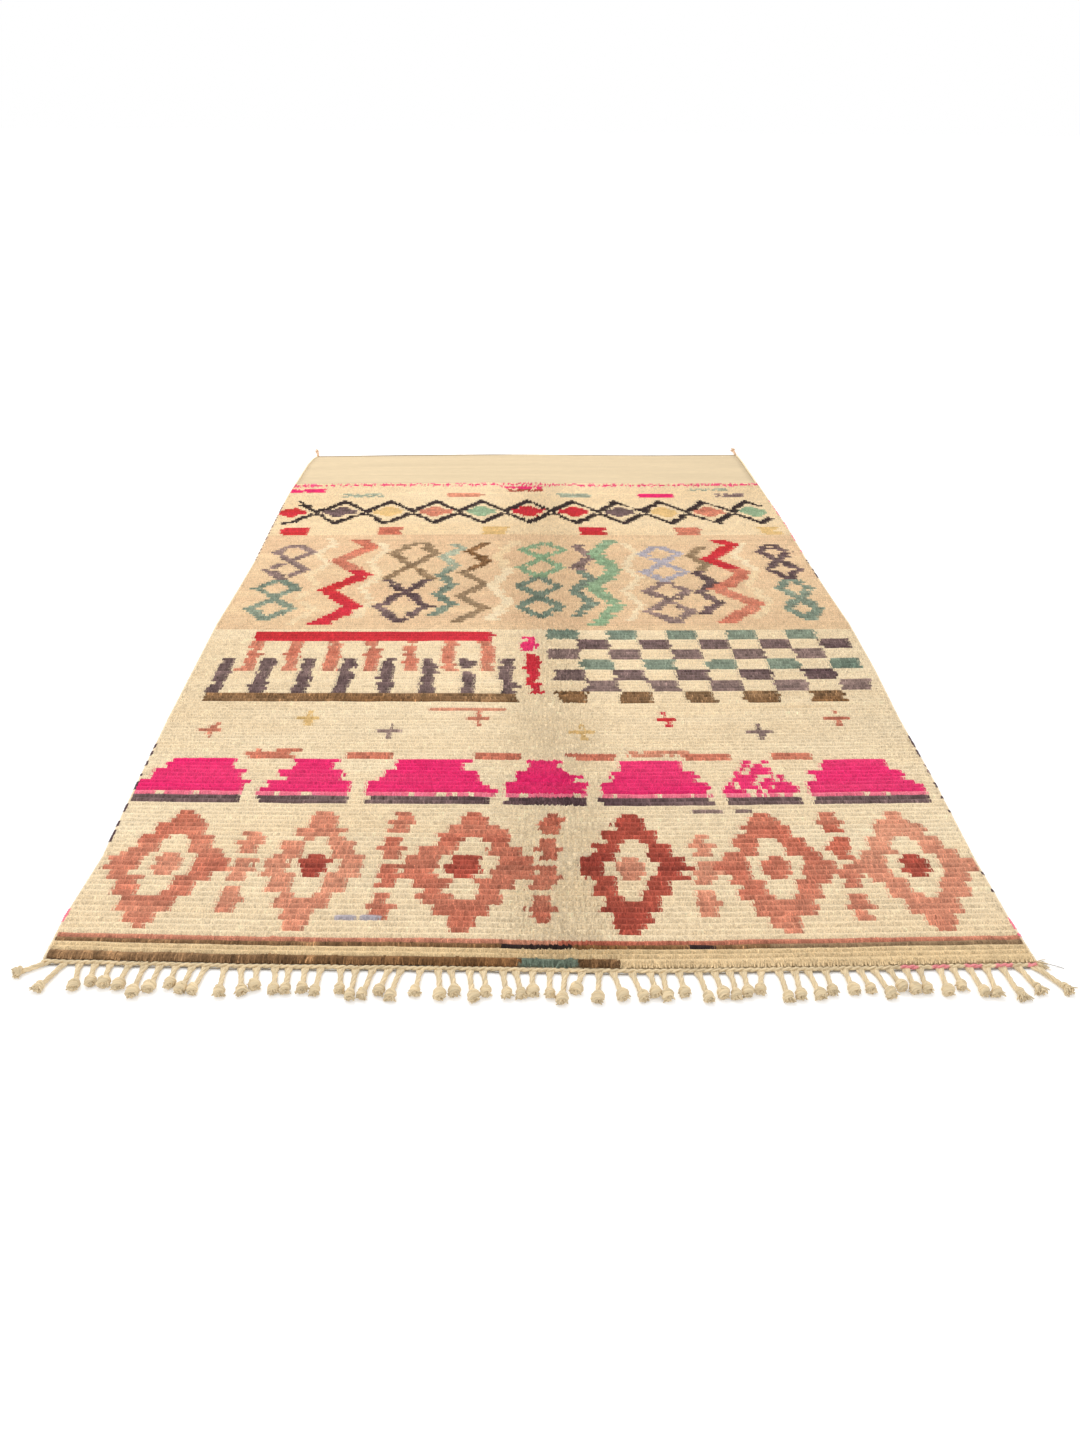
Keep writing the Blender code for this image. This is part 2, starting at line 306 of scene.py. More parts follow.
# Stepped lozenges: centre knot, centre row, half width, half height, yarn, heart, core
LOZENGES = (
    (12, 18, 10, 12, "brick", "cream", "salmon"),
    (37, 18, 9, 12, "salmon", "cream", "oxblood"),
    (63, 18, 11, 12, "brick", "cream", "oxblood"),
    (90, 18, 9, 12, "oxblood", "cream", "salmon"),
    (114, 18, 10, 12, "brick", "cream", "brick"),
    (138, 18, 10, 12, "salmon", "cream", "oxblood"),
)

# Upright rows of small grains: centre knot, low row, grains, yarn
GRAINS = (
    (25, 9, 3, "salmon"),
    (50, 8, 4, "brick"),
    (76, 8, 4, "brick"),
    (102, 9, 3, "salmon"),
    (126, 8, 4, "brick"),
)

# Broad teeth that stand on one line: first knot, base width, yarn, share of ground knots in them
TEETH_ROW = 36
TEETH_RISE = 9
TEETH = (
    (1, 20, "magenta", 0.0),
    (24, 16, "magenta", 0.0),
    (43, 22, "magenta", 0.0),
    (68, 15, "magenta", 0.0),
    (86, 20, "magenta", 0.0),
    (109, 14, "magenta", 0.40),
    (125, 22, "magenta", 0.0),
)

# Small equal-armed crosses: centre knot, centre row, yarn
CROSSES = (
    (9, 53, "brick"), (27, 57, "ochre"), (44, 53, "mauve"), (62, 57, "brick"),
    (83, 53, "ochre"), (101, 57, "red"), (120, 53, "mauve"), (138, 57, "brick"),
)

# Combs: first knot, row of the bar's outer edge, way up, bar rows, teeth, tooth width, space,
# tooth height, bar yarn, tooth yarn
COMBS = (
    (4, 63, 1, 3, 8, 3, 6, 13, "brown", "aubergine"),
    (9, 89, -1, 4, 7, 3, 6, 12, "red", "brick"),
)

# A checked patch: first knot, first row, knots and rows in a cell, cells across, and the yarn of
# each line of cells
CHECKS_LEFT = 79
CHECKS_LOW = 63
CHECK_KNOTS = 7
CHECK_ROWS = 4
CHECKS_ACROSS = 10
CHECK_YARNS = ("brown", "mauve", "aubergine", "teal", "mauve", "aubergine", "teal")

# Chains of open diamonds: centre knot, low row, links, half width, half height, yarn, next yarn
CHAINS = (
    (10, 95, 4, 5, 5, "teal", "mauve"),
    (43, 94, 3, 6, 7, "aubergine", "taupe"),
    (77, 96, 4, 5, 5, "teal", "green"),
    (109, 94, 4, 5, 5, "mauve", "lilac"),
    (141, 95, 4, 4, 5, "teal", "aubergine"),
)

# Upright zigzags: centre knot, low row, rows, swing, rows in a swing, thickness, yarn, next yarn
ZIGZAGS = (
    (19, 93, 46, 2, 6, 2, "straw", "cream"),
    (27, 93, 45, 4, 8, 5, "red", "brick"),
    (34, 96, 40, 2, 7, 2, "cream", "cream"),
    (53, 97, 38, 2, 5, 3, "teal", "sage"),
    (60, 94, 42, 3, 6, 3, "taupe", "brown"),
    (67, 95, 42, 2, 8, 3, "cream", "straw"),
    (88, 97, 38, 2, 6, 3, "teal", "mauve"),
    (94, 93, 45, 3, 9, 4, "green", "green"),
    (101, 95, 41, 2, 7, 2, "cream", "cream"),
    (119, 98, 36, 2, 5, 3, "aubergine", "taupe"),
    (126, 94, 44, 4, 8, 5, "brick", "red"),
    (132, 96, 40, 2, 8, 2, "straw", "cream"),
)

# Blocks: first knot, low row, knots, rows, yarn, share of ground knots in them
BLOCKS = (
    (44, 8, 7, 1, "lilac", 0.2),
    (45, 9, 6, 1, "aubergine", 0.5),
    (73, 66, 3, 15, "red", 0.0),
    (73, 82, 3, 6, "magenta", 0.0),
    (100, 31, 16, 1, "mauve", 0.4),
    (20, 47, 9, 1, "brick", 0.2),
    (92, 46, 12, 2, "salmon", 0.2),
    (52, 60, 16, 1, "salmon", 0.1),
    (118, 61, 20, 1, "straw", 0.0),
    (4, 141, 8, 5, "red", 0.0),
    (31, 141, 7, 5, "brick", 0.0),
    (60, 141, 7, 5, "ochre", 0.0),
    (88, 141, 8, 5, "red", 0.0),
    (116, 141, 7, 5, "brick", 0.0),
    (141, 141, 6, 5, "ochre", 0.0),
    (16, 167, 13, 3, "sage", 0.2),
    (49, 167, 10, 3, "brick", 0.0),
    (84, 167, 11, 3, "sage", 0.1),
    (110, 167, 12, 3, "magenta", 0.0),
    (135, 167, 9, 3, "mauve", 0.2),
    (0, 171, 10, 3, "magenta", 0.1),
    (68, 171, 12, 2, "oxblood", 0.1),
    (66, 173, 14, 2, "magenta", 0.1),
    (128, 172, 12, 2, "sage", 0.3),
)

# A lattice of two crossing zigzag lines: low row, height, knots in a mesh, first knot, last knot
LATTICE_LOW = 148
LATTICE_HEIGHT = 15
LATTICE_PERIOD = 28
LATTICE_FIRST = 3
LATTICE_LAST = 147
LATTICE_HEARTS = ("red", "aubergine", "ochre", "brick", "green", "red")

# Speckled rows before the flat weave: row, yarn, share of its tails in that yarn
SPECKLED_ROWS = ((175, "pink", 0.22), (176, "magenta", 0.58), (177, "pink", 0.30))

# Where the ground turns from cream to peach, and from peach to straw
PEACH_FROM_ROW = 91
STRAW_FROM_ROW = 141

# How the design sways as it is knotted: by how many knots, from which row, and how fast it does so
# from row to row and from knot to knot
SWAY = 1.4
SWAY_FROM_ROW = 6
SWAY_BY_ROW = 0.060
SWAY_BY_KNOT = 0.025

# Rows in which a motif's edge runs true, for each that strays left and each that strays right
TRUE_ROWS = 24

# How the dye varies: by streaks of a few tails, by single tails and by whole rows
STREAK_SHARE = 1.5
TAIL_SHARE = 0.75
ROW_SHARE = 0.45
BRIGHTEST = 0.98


def yarn_number(name):
    """A yarn's number in the chart."""
    return YARN_NAMES.index(name)


def knot_run(chart, rng, row, first, last, name, thin=0.0):
    """Ties a run of knots in one row, from first up to last, leaving a share thin of them out."""
    if not 0 <= row < chart.shape[0]:
        return
    for knot in range(max(0, first), min(chart.shape[1], last)):
        if rng.random() >= thin:
            chart[row, knot] = yarn_number(name)


def wander(rng):
    """How far a motif's edge strays in one row: mostly not, sometimes by a knot."""
    return int(rng.choice((-1,) + (0,) * TRUE_ROWS + (1,)))


def tie_field(chart, rng):
    """The ground: cream, a peach middle, a straw far end."""
    chart[:] = yarn_number("cream")
    for row in range(PEACH_FROM_ROW, chart.shape[0]):
        name = "peach" if row < STRAW_FROM_ROW else "straw"
        knot_run(chart, rng, row, 0, chart.shape[1], name)


def tie_stripes(chart, rng):
    """The stripes at the near end."""
    knots = chart.shape[1]
    for low, high, start, end, name in END_STRIPES:
        for row in range(low, high + 1):
            first = round(start * knots) + (wander(rng) if start else 0)
            last = round(end * knots) + (wander(rng) if end < 1 else 0)
            knot_run(chart, rng, row, first, last, name)


def tie_lozenge(chart, rng, centre, middle, half_width, half_height, name, step=2):
    """A filled lozenge with stepped sides."""
    for rise in range(-half_height, half_height + 1):
        half = half_width * (1 - abs(rise) / (half_height + 1))
        half = max(1, step * round(half / step))
        left, right = centre - half + wander(rng), centre + half + 1 + wander(rng)
        knot_run(chart, rng, middle + rise, left, right, name)


def tie_lozenges(chart, rng):
    """Lozenges with a heart and a core in other yarns."""
    for centre, middle, half_width, half_height, name, heart, core in LOZENGES:
        tie_lozenge(chart, rng, centre, middle, half_width, half_height, name)
        tie_lozenge(chart, rng, centre, middle, half_width // 2, half_height // 2, heart)
        tie_lozenge(chart, rng, centre, middle, 2, 2, core)


def tie_grains(chart, rng):
    """Upright rows of small grains between the lozenges."""
    for centre, low, count, name in GRAINS:
        for grain in range(count):
            tie_lozenge(chart, rng, centre, low + 2 + 6 * grain, 2, 2, name, 1)


def tie_teeth(chart, rng):
    """Broad stepped teeth on a pink line, with an aubergine line below and brick bars above."""
    for first, width, name, thin in TEETH:
        for rise in range(TEETH_RISE):
            inset = 2 * (rise // 3)
            left, right = first + inset + wander(rng), first + width - inset + wander(rng)
            knot_run(chart, rng, TEETH_ROW + rise, left, right, name, thin)
        knot_run(chart, rng, TEETH_ROW - 1, first, first + width + wander(rng), "pink", 0.1)
        for drop in (2, 3):
            start = first + wander(rng)
            knot_run(chart, rng, TEETH_ROW - drop, start, first + width, "aubergine")
    for before, after in zip(TEETH, TEETH[1:]):
        middle = (before[0] + before[1] + after[0]) // 2
        for rise in (TEETH_RISE, TEETH_RISE + 1):
            left, right = middle - 4 + wander(rng), middle + 5 + wander(rng)
            knot_run(chart, rng, TEETH_ROW + rise, left, right, "brick")


def tie_crosses(chart, rng):
    """Crosses five knots wide and five rows high."""
    for centre, middle, name in CROSSES:
        for rise, reach in ((-2, 0), (-1, 0), (0, 2), (1, 0), (2, 0)):
            knot_run(chart, rng, middle + rise, centre - reach, centre + reach + 1, name)


def tie_combs(chart, rng):
    """Combs: a bar with teeth on one side."""
    for first, edge, way, bar, teeth, tooth, space, height, bar_name, tooth_name in COMBS:
        width = teeth * (tooth + space) - space
        for rise in range(bar):
            left, right = first + wander(rng), first + width + wander(rng)
            knot_run(chart, rng, edge + way * rise, left, right, bar_name)
        for number in range(teeth):
            left = first + number * (tooth + space)
            for rise in range(bar, bar + height):
                start, stop = left + wander(rng), left + tooth + wander(rng)
                knot_run(chart, rng, edge + way * rise, start, stop, tooth_name)


def tie_checks(chart, rng):
    """A checked patch, each line of cells in its own yarn."""
    for line, name in enumerate(CHECK_YARNS):
        for cell in range(line % 2, CHECKS_ACROSS, 2):
            left = CHECKS_LEFT + cell * CHECK_KNOTS
            for rise in range(CHECK_ROWS):
                row = CHECKS_LOW + line * CHECK_ROWS + rise
                knot_run(chart, rng, row, left + wander(rng), left + CHECK_KNOTS, name)


def tie_chains(chart, rng):
    """Open diamonds one above another, three knots thick."""
    for centre, low, links, half_width, half_height, name, next_name in CHAINS:
        for rise in range(links * 2 * half_height):
            swing = rise % (2 * half_height)
            reach = round(half_width * (1 - abs(swing - half_height) / half_height))
            shown = name if rise < links * half_height else next_name
            for side in (-1, 1):
                place = centre + side * reach
                knot_run(chart, rng, low + rise, place - 1, place + 2 + wander(rng), shown, 0.03)


def tie_zigzags(chart, rng):
    """Upright zigzags that change yarn on their way."""
    for centre, low, rows, swing, half_period, thickness, name, next_name in ZIGZAGS:
        for rise in range(rows):
            phase = rise % (2 * half_period)
            slide = swing * (1 - 2 * abs(phase - half_period) / half_period)
            left = centre + round(slide) - thickness // 2
            shown = name if rise < 0.6 * rows else next_name
            knot_run(chart, rng, low + rise, left, left + thickness + wander(rng), shown)


def tie_blocks(chart, rng):
    """Plain blocks and short lines."""
    for first, low, knots, rows, name, thin in BLOCKS:
        for rise in range(rows):
            left, right = first + wander(rng), first + knots + wander(rng)
            knot_run(chart, rng, low + rise, left, right, name, thin)


def tie_lattice(chart, rng):
    """Two zigzag lines that cross, with a small lozenge in the middle of each mesh."""
    half = LATTICE_PERIOD // 2
    middle = LATTICE_LOW + LATTICE_HEIGHT // 2 + 1
    for knot in range(LATTICE_FIRST, LATTICE_LAST):
        swing = abs((knot - LATTICE_FIRST) % LATTICE_PERIOD - half) / half
        for share in (swing, 1 - swing):
            row = LATTICE_LOW + round(share * LATTICE_HEIGHT)
            knot_run(chart, rng, row, knot, knot + 2, "black")
            knot_run(chart, rng, row + 1, knot, knot + 1, "black")
    for number in range((LATTICE_LAST - LATTICE_FIRST) // half + 1):
        name = LATTICE_HEARTS[number % len(LATTICE_HEARTS)]
        tie_lozenge(chart, rng, LATTICE_FIRST + half * number, middle, 4, 3, name)


def chart_design(rows, knots):
    """The whole chart, as yarn numbers: it sways a little, as a chart kept in the head does."""
    rng = np.random.default_rng(11)
    chart = np.zeros((rows, knots), int)
    for tie in (
        tie_field, tie_stripes, tie_lozenges, tie_grains, tie_teeth, tie_crosses, tie_combs,
        tie_checks, tie_chains, tie_zigzags, tie_blocks, tie_lattice,
    ):
        tie(chart, rng)
    row, knot = np.meshgrid(np.arange(rows), np.arange(knots), indexing="ij")
    shift = np.round(SWAY * np.sin(SWAY_BY_ROW * row + SWAY_BY_KNOT * knot)).astype(int)
    shift[:SWAY_FROM_ROW] = 0
    return chart[row, np.clip(knot + shift, 0, knots - 1)]


def tail_chart(chart):
    """The chart with each knot's cut tails side by side; some at a colour's edge stray over it."""
    rng = np.random.default_rng(17)
    tails = np.repeat(chart, TAILS, axis=1)
    stray = rng.random(tails.shape)
    swapped = tails.copy()
    swapped[:, 1:] = np.where(stray[:, 1:] < STRAY_TAILS, tails[:, :-1], swapped[:, 1:])
    swapped[:, :-1] = np.where(stray[:, :-1] > 1 - STRAY_TAILS, tails[:, 1:], swapped[:, :-1])
    for row, name, part in SPECKLED_ROWS:
        if row < len(chart):
            chosen = rng.random(swapped.shape[1]) < part
            swapped[row] = np.where(chosen, yarn_number(name), yarn_number("straw"))
    return swapped


def tail_colours(chart, yarns):
    """Each tail's colour, with its yarn's drift from row to row, and how uneven its dye is."""
    rng = np.random.default_rng(23)
    tails = tail_chart(chart)
    rows, across = tails.shape
    drift = 0.5 + 0.5 * soft_noise(rng, rows, across, 2.2, 44)
    slow = 0.5 + 0.5 * soft_noise(rng, rows, across, 14, 80)
    weight = np.clip(0.75 * drift + 0.60 * slow - 0.17, 0, 1)[..., None]
    streak = STREAK_SHARE * soft_noise(rng, rows, across, 0.9, 3)[..., None]
    single = rng.normal(0.0, TAIL_SHARE, (rows, across, 1))
    whole_row = rng.normal(0.0, ROW_SHARE, (rows, 1, 1))
    colours = np.zeros((rows, across, 3))
    for number, (name, partner, reach, unevenness) in enumerate(YARN_DRIFTS):
        base, other = np.array(getattr(yarns, name)), np.array(getattr(yarns, partner))
        mixed = base + reach * weight * (other - base)
        mixed = mixed * np.exp(unevenness * (streak + single + whole_row))
        colours = np.where((tails == number)[..., None], mixed, colours)
    return np.clip(colours, 0.0, BRIGHTEST), np.array([drift[3] for drift in YARN_DRIFTS])[tails]


# Meshes

# How closely fibres and curls lie in the yarn, in noise waves to a metre
FIBRES_ACROSS = 1400.0
FIBRES_ALONG = 170.0
CURLS_ALONG = 950.0

# Places on the bake map, as shares: margin of a cell, margin of a patch's strip, and where in its
# cell a loft's tips and walls lie
CELL_MARGIN = 0.04
STRIP_MARGIN = 0.002
FIRST_TIP, WALL_START, WALL_END, LAST_TIP = 0.02, 0.12, 0.88, 0.98
TIP_REACH = 0.6


def loft_faces(rings, sides, first_tip, last_tip):
    """Corner numbers of one loft's quads and triangles, and their places in a unit bake cell."""
    quads, quad_map, tris, tri_map = [], [], [], []
    low, high = WALL_START, WALL_END
    levels = [low + (high - low) * ring / max(1, rings - 1) for ring in range(rings)]
    for ring in range(rings - 1):
        for side in range(sides):
            after = (side + 1) % sides
            start, end = ring * sides, (ring + 1) * sides
            quads.append((start + side, start + after, end + after, end + side))
            u, v = side / sides, (side + 1) / sides
            near, far = levels[ring], levels[ring + 1]
            quad_map.append(((u, near), (v, near), (v, far), (u, far)))
    tip = rings * sides
    for side in range(sides):
        after = (side + 1) % sides
        u, v = side / sides, (side + 1) / sides
        if first_tip:
            tris.append((tip, after, side))
            tri_map.append((((u + v) / 2, FIRST_TIP), (v, low), (u, low)))
        if last_tip:
            start = (rings - 1) * sides
            tris.append((tip + first_tip, start + side, start + after))
            tri_map.append((((u + v) / 2, LAST_TIP), (u, high), (v, high)))
    shaped = np.array(quads, int).reshape(-1, 4), np.array(quad_map, float).reshape(-1, 4, 2)
    return *shaped, np.array(tris, int).reshape(-1, 3), np.array(tri_map, float).reshape(-1, 3, 2)


class Patch:
    """Part of a mesh: its points with colours and lay, and its faces with places on a unit bake map."""

    def __init__(self, points, colours, lays, normals=None):
        self.points, self.colours, self.lays = points, colours, lays
        self.normals = np.zeros_like(points) if normals is None else normals
        self.faces, self.places = [], []

    def add(self, faces, places):
        """Adds faces of one kind, and gives the patch itself."""
        self.faces.append(faces)
        self.places.append(places)
        return self

    def triangles(self):
        """How many triangles the patch has."""
        return sum(len(faces) * (faces.shape[1] - 2) for faces in self.faces)


def cell_places(template, count):
    """A face template's places on the map, in a grid of count cells."""
    side = math.ceil(math.sqrt(count))
    numbers = np.arange(count)
    corner = np.stack([numbers % side, numbers // side], axis=1)[:, None, None]
    placed = (CELL_MARGIN + (1 - 2 * CELL_MARGIN) * template[None] + corner) / side
    return placed.reshape(-1, template.shape[1], 2)


class Lofts:
    """Many lofts of one build: rings of points, count x rings x sides x 3, closed by their tips."""

    def __init__(self, rings, colours, first=None, last=None):
        self.rings, self.first, self.last = rings, first, last
        self.colours = np.broadcast_to(colours, rings.shape)

    def vertices(self):
        """Points, colours and lay of every vertex, and how many one loft has."""
        count, _, sides, _ = self.rings.shape
        centres = self.rings.mean(axis=2)
        steps = np.linalg.norm(np.diff(centres, axis=1), axis=2)
        along = np.concatenate([np.zeros((count, 1)), np.cumsum(steps, axis=1)], axis=1)
        radius = np.linalg.norm(self.rings - centres[:, :, None], axis=3)
        angle = 2 * math.pi * np.arange(sides) / sides
        seeds = np.arange(count)[:, None, None] * 7.31
        lay = np.stack(
            [
                radius * np.cos(angle) * FIBRES_ACROSS + seeds,
                radius * np.sin(angle) * FIBRES_ACROSS,
                np.broadcast_to(along[:, :, None] * FIBRES_ALONG, radius.shape) + seeds * 0.37,
            ],
            axis=3,
        )
        parts = [[part.reshape(count, -1, 3) for part in (self.rings, self.colours, lay)]]
        for tip, ring in ((self.first, 0), (self.last, -1)):
            if tip is not None:
                shade = self.colours[:, ring].mean(axis=1)
                place = lay[:, ring].mean(axis=1)
                parts.append((tip[:, None], shade[:, None], place[:, None]))
        points, colours, lays = (np.concatenate(group, axis=1) for group in zip(*parts))
        return points.reshape(-1, 3), colours.reshape(-1, 3), lays.reshape(-1, 3), points.shape[1]

    def patch(self):
        """The lofts as a patch, a cell of the bake map to each."""
        count, rings, sides, _ = self.rings.shape
        tipped = self.first is not None, self.last is not None
        quads, quad_map, tris, tri_map = loft_faces(rings, sides, *tipped)
        points, colours, lays, each = self.vertices()
        offsets = each * np.arange(count)[:, None, None]
        made = Patch(points, colours, lays)
        for faces, places in ((quads, quad_map), (tris, tri_map)):
            if len(faces):
                numbers = (faces[None] + offsets).reshape(-1, faces.shape[1])
                made.add(numbers, cell_places(places, count))
        return made


def piece_of_patches(name, patches, material):
    """One smooth mesh object of several patches, each with its own strip of the bake map."""
    edges = np.cumsum([0] + [patch.triangles() for patch in patches], dtype=float)
    edges /= edges[-1]
    start, faces, places = 0, [], []
    for patch, low, high in zip(patches, edges, edges[1:]):
        for numbers, map_places in zip(patch.faces, patch.places):
            faces += (numbers + start).tolist()
            placed = map_places * (high - low - STRIP_MARGIN, 1.0) + (low + STRIP_MARGIN / 2, 0.0)
            places.append(placed.reshape(-1, 2))
        start += len(patch.points)
    points, colours, lays, normals = (
        np.concatenate([getattr(patch, part) for patch in patches])
        for part in ("points", "colours", "lays", "normals")
    )
    made = mesh_piece(name, points, faces, colours, np.concatenate(places), material, lays)
    if normals.any():
        made.data.normals_split_custom_set_from_vertices(normals)
    return made


def mesh_of_lofts(name, groups, material):
    """One smooth mesh object of several groups of lofts."""
    return piece_of_patches(name, [group.patch() for group in groups], material)


def mesh_piece(name, points, faces, colours, uvs, material, lays=None):
    """A smooth mesh object with a colour and a lay at each vertex and a bake map."""
    mesh = bpy.data.meshes.new(name)
    mesh.from_pydata(points.tolist(), [], faces)
    mesh.shade_smooth()
    layer = mesh.color_attributes.new(COLOUR_LAYER, "FLOAT_COLOR", "POINT")
    shades = np.ones((len(points), 4))
    shades[:, :3] = colours
    layer.data.foreach_set("color", shades.ravel())
    if lays is not None:
        lay = mesh.attributes.new(LAY_LAYER, "FLOAT_VECTOR", "POINT")
        lay.data.foreach_set("vector", np.asarray(lays).ravel())
    bake = mesh.uv_layers.new(name=BAKE_MAP)
    bake.data.foreach_set("uv", np.asarray(uvs).ravel())
    mesh.materials.append(material)
    made = bpy.data.objects.new(name, mesh)
    bpy.context.scene.collection.objects.link(made)
    return made


def unit(vectors):
    """Vectors of length 1 along the last axis."""
    return vectors / np.maximum(np.linalg.norm(vectors, axis=-1, keepdims=True), 1e-12)


def sweep(paths, radius, sides, reference=(0.0, 0.0, 1.0), colours=(1.0, 1.0, 1.0)):
    """Round tubes along paths, count x stations x 3, closed by a low tip at each end."""
    paths = np.asarray(paths, float)
    count, stations, _ = paths.shape
    radius = np.broadcast_to(radius, (count, stations))
    tangent = unit(np.gradient(paths, axis=1))
    across = unit(np.cross(tangent, np.broadcast_to(reference, paths.shape)))
    over = np.cross(tangent, across)
    angle = 2 * math.pi * np.arange(sides) / sides
    circle = (
        across[:, :, None] * np.cos(angle)[None, None, :, None]
        + over[:, :, None] * np.sin(angle)[None, None, :, None]
    )
    rings = paths[:, :, None] + radius[:, :, None, None] * circle
    first = paths[:, 0] - tangent[:, 0] * radius[:, :1] * TIP_REACH
    last = paths[:, -1] + tangent[:, -1] * radius[:, -1:] * TIP_REACH
    colours = np.asarray(colours, float)
    while colours.ndim < 4:
        colours = colours[None] if colours.ndim == 1 else colours[:, None]
    return Lofts(rings, colours, first, last)


def rest_on_floor(lofts, lowest=0.0002):
    """Flattens lofts where they would sink into the floor."""
    for points in (lofts.rings, lofts.first, lofts.last):
        if points is not None:
            points[..., 2] = np.maximum(points[..., 2], lowest)
    return lofts


# Materials

WOOL_ROUGHNESS = 0.92
WOOL_SPECULAR = 0.08
SHEEN_ROUGHNESS = 0.55
CURL_SCALE = 0.26
FIBRE_SHARE = 0.35
FIBRE_TONES = (0.40, 0.95)
FIBRE_BUMP = 0.9
GROUND_SHEEN = 0.08
GROUND_STREAKS = (22.0, 420.0, 1.0)
GROUND_TONES = (0.25, 0.75, 0.88, 1.08)
GROUND_BUMP = 0.8
GROUND_RELIEF = 0.0005
WARP_PITCH = 0.0060


def add_node(tree, kind, **values):
    """A new node with its named inputs or settings set."""
    node = tree.nodes.new(kind)
    for name, value in values.items():
        if name in node.inputs:
            node.inputs[name].default_value = value
        else:
            setattr(node, name, value)
    return node


def link(tree, source, output, target, socket):
    """Joins one node's output to another's input."""
    tree.links.new(source.outputs[output], target.inputs[socket])


def sum_of(tree, first, second):
    """An output that adds two others."""
    adding = add_node(tree, "ShaderNodeMath", operation="ADD")
    tree.links.new(first, adding.inputs[0])
    tree.links.new(second, adding.inputs[1])
    return adding.outputs["Value"]


def matt_material(name, sheen):
    """A new matt material, its node tree and its shader."""
    made = bpy.data.materials.new(name)
    made.use_nodes = True
    shader = made.node_tree.nodes["Principled BSDF"]
    shader.inputs["Roughness"].default_value = WOOL_ROUGHNESS
    shader.inputs["Sheen Weight"].default_value = sheen
    shader.inputs["Specular IOR Level"].default_value = WOOL_SPECULAR
    return made, made.node_tree, shader


def shade_yarn(tree, shader, tone, tones, height, strength, relief):
    """Scales the yarn's own colour by a tone, from one range to another, and raises a relief."""
    colour = add_node(tree, "ShaderNodeAttribute", attribute_name=COLOUR_LAYER)
    limits = dict(zip(("From Min", "From Max", "To Min", "To Max"), tones))
    spread = add_node(tree, "ShaderNodeMapRange", **limits)
    tree.links.new(tone, spread.inputs["Value"])
    tint = add_node(tree, "ShaderNodeVectorMath", operation="SCALE")
    link(tree, colour, "Color", tint, "Vector")
    link(tree, spread, "Result", tint, "Scale")
    link(tree, tint, "Vector", shader, "Base Color")
    bump = add_node(tree, "ShaderNodeBump", Strength=strength, Distance=relief)
    tree.links.new(height, bump.inputs["Height"])
    link(tree, bump, "Normal", shader, "Normal")


def wool_material(name, mottle, relief, sheen):
    """Matt wool in the yarn's own colour, with fibres along it: colour mottle, relief, sheen."""
    made, tree, shader = matt_material(name, sheen)
    shader.inputs["Sheen Roughness"].default_value = SHEEN_ROUGHNESS
    lay = add_node(tree, "ShaderNodeAttribute", attribute_name=LAY_LAYER)
    fibres = add_node(tree, "ShaderNodeTexNoise", Scale=1.0, Detail=2.0, Roughness=0.6)
    curls = add_node(tree, "ShaderNodeTexNoise", Scale=CURL_SCALE, Detail=1.0, Roughness=0.5)
    both = add_node(tree, "ShaderNodeMath", operation="MULTIPLY_ADD")
    both.inputs[1].default_value = FIBRE_SHARE
    for number, noise in ((0, fibres), (2, curls)):
        link(tree, lay, "Vector", noise, "Vector")
        link(tree, noise, "Fac", both, number)
    fluff = both.outputs["Value"]
    tones = (*FIBRE_TONES, 1.0 - mottle, 1.0 + mottle)
    shade_yarn(tree, shader, fluff, tones, fluff, FIBRE_BUMP, relief)
    return made


def ground_material(rib_pitch):
    """The flat weave: weft ribs crossed by warps, in the colours of the yarn."""
    made, tree, shader = matt_material("ground_weave", GROUND_SHEEN)
    place = add_node(tree, "ShaderNodeTexCoord")
    stretch = add_node(tree, "ShaderNodeMapping", Scale=GROUND_STREAKS)
    link(tree, place, "Object", stretch, "Vector")
    streak = add_node(tree, "ShaderNodeTexNoise", Scale=1.0, Detail=3.0, Roughness=0.6)
    link(tree, stretch, "Vector", streak, "Vector")
    heights = []
    for direction, pitch in (("X", WARP_PITCH), ("Y", rib_pitch)):
        bands = add_node(
            tree, "ShaderNodeTexWave", wave_type="BANDS", bands_direction=direction,
            Scale=math.pi / (10 * pitch), Distortion=1.2, Detail=1.0,
        )
        link(tree, place, "Object", bands, "Vector")
        heights.append(bands.outputs["Fac"])
    tone = streak.outputs["Fac"]
    height = sum_of(tree, sum_of(tree, *heights), tone)
    shade_yarn(tree, shader, tone, GROUND_TONES, height, GROUND_BUMP, GROUND_RELIEF)
    return made


# The cloth

GROUND_BOTTOM = 0.0003
GROUND_TOP_ROWS = 12
GROUND_TOP_COLUMNS = 60
BAND_STATIONS = 30
BAND_BACK_STATIONS = 10
BAND_TAPER = 0.012
BAND_TAPER_DROP = 0.0016
BAND_WAVE = 0.0005
BAND_STREAK = 0.06
BACK_SHADE = 0.85

# Lanes of the ground's bake map: size of the top's and the back's, size of the walls', and where
# the last two start
GRID_LANE = (0.44, 1.0)
WALL_LANE = (0.08, 1.0)
BACK_LANE_START = (0.45, 0.0)
WALL_LANE_START = (0.91, 0.0)

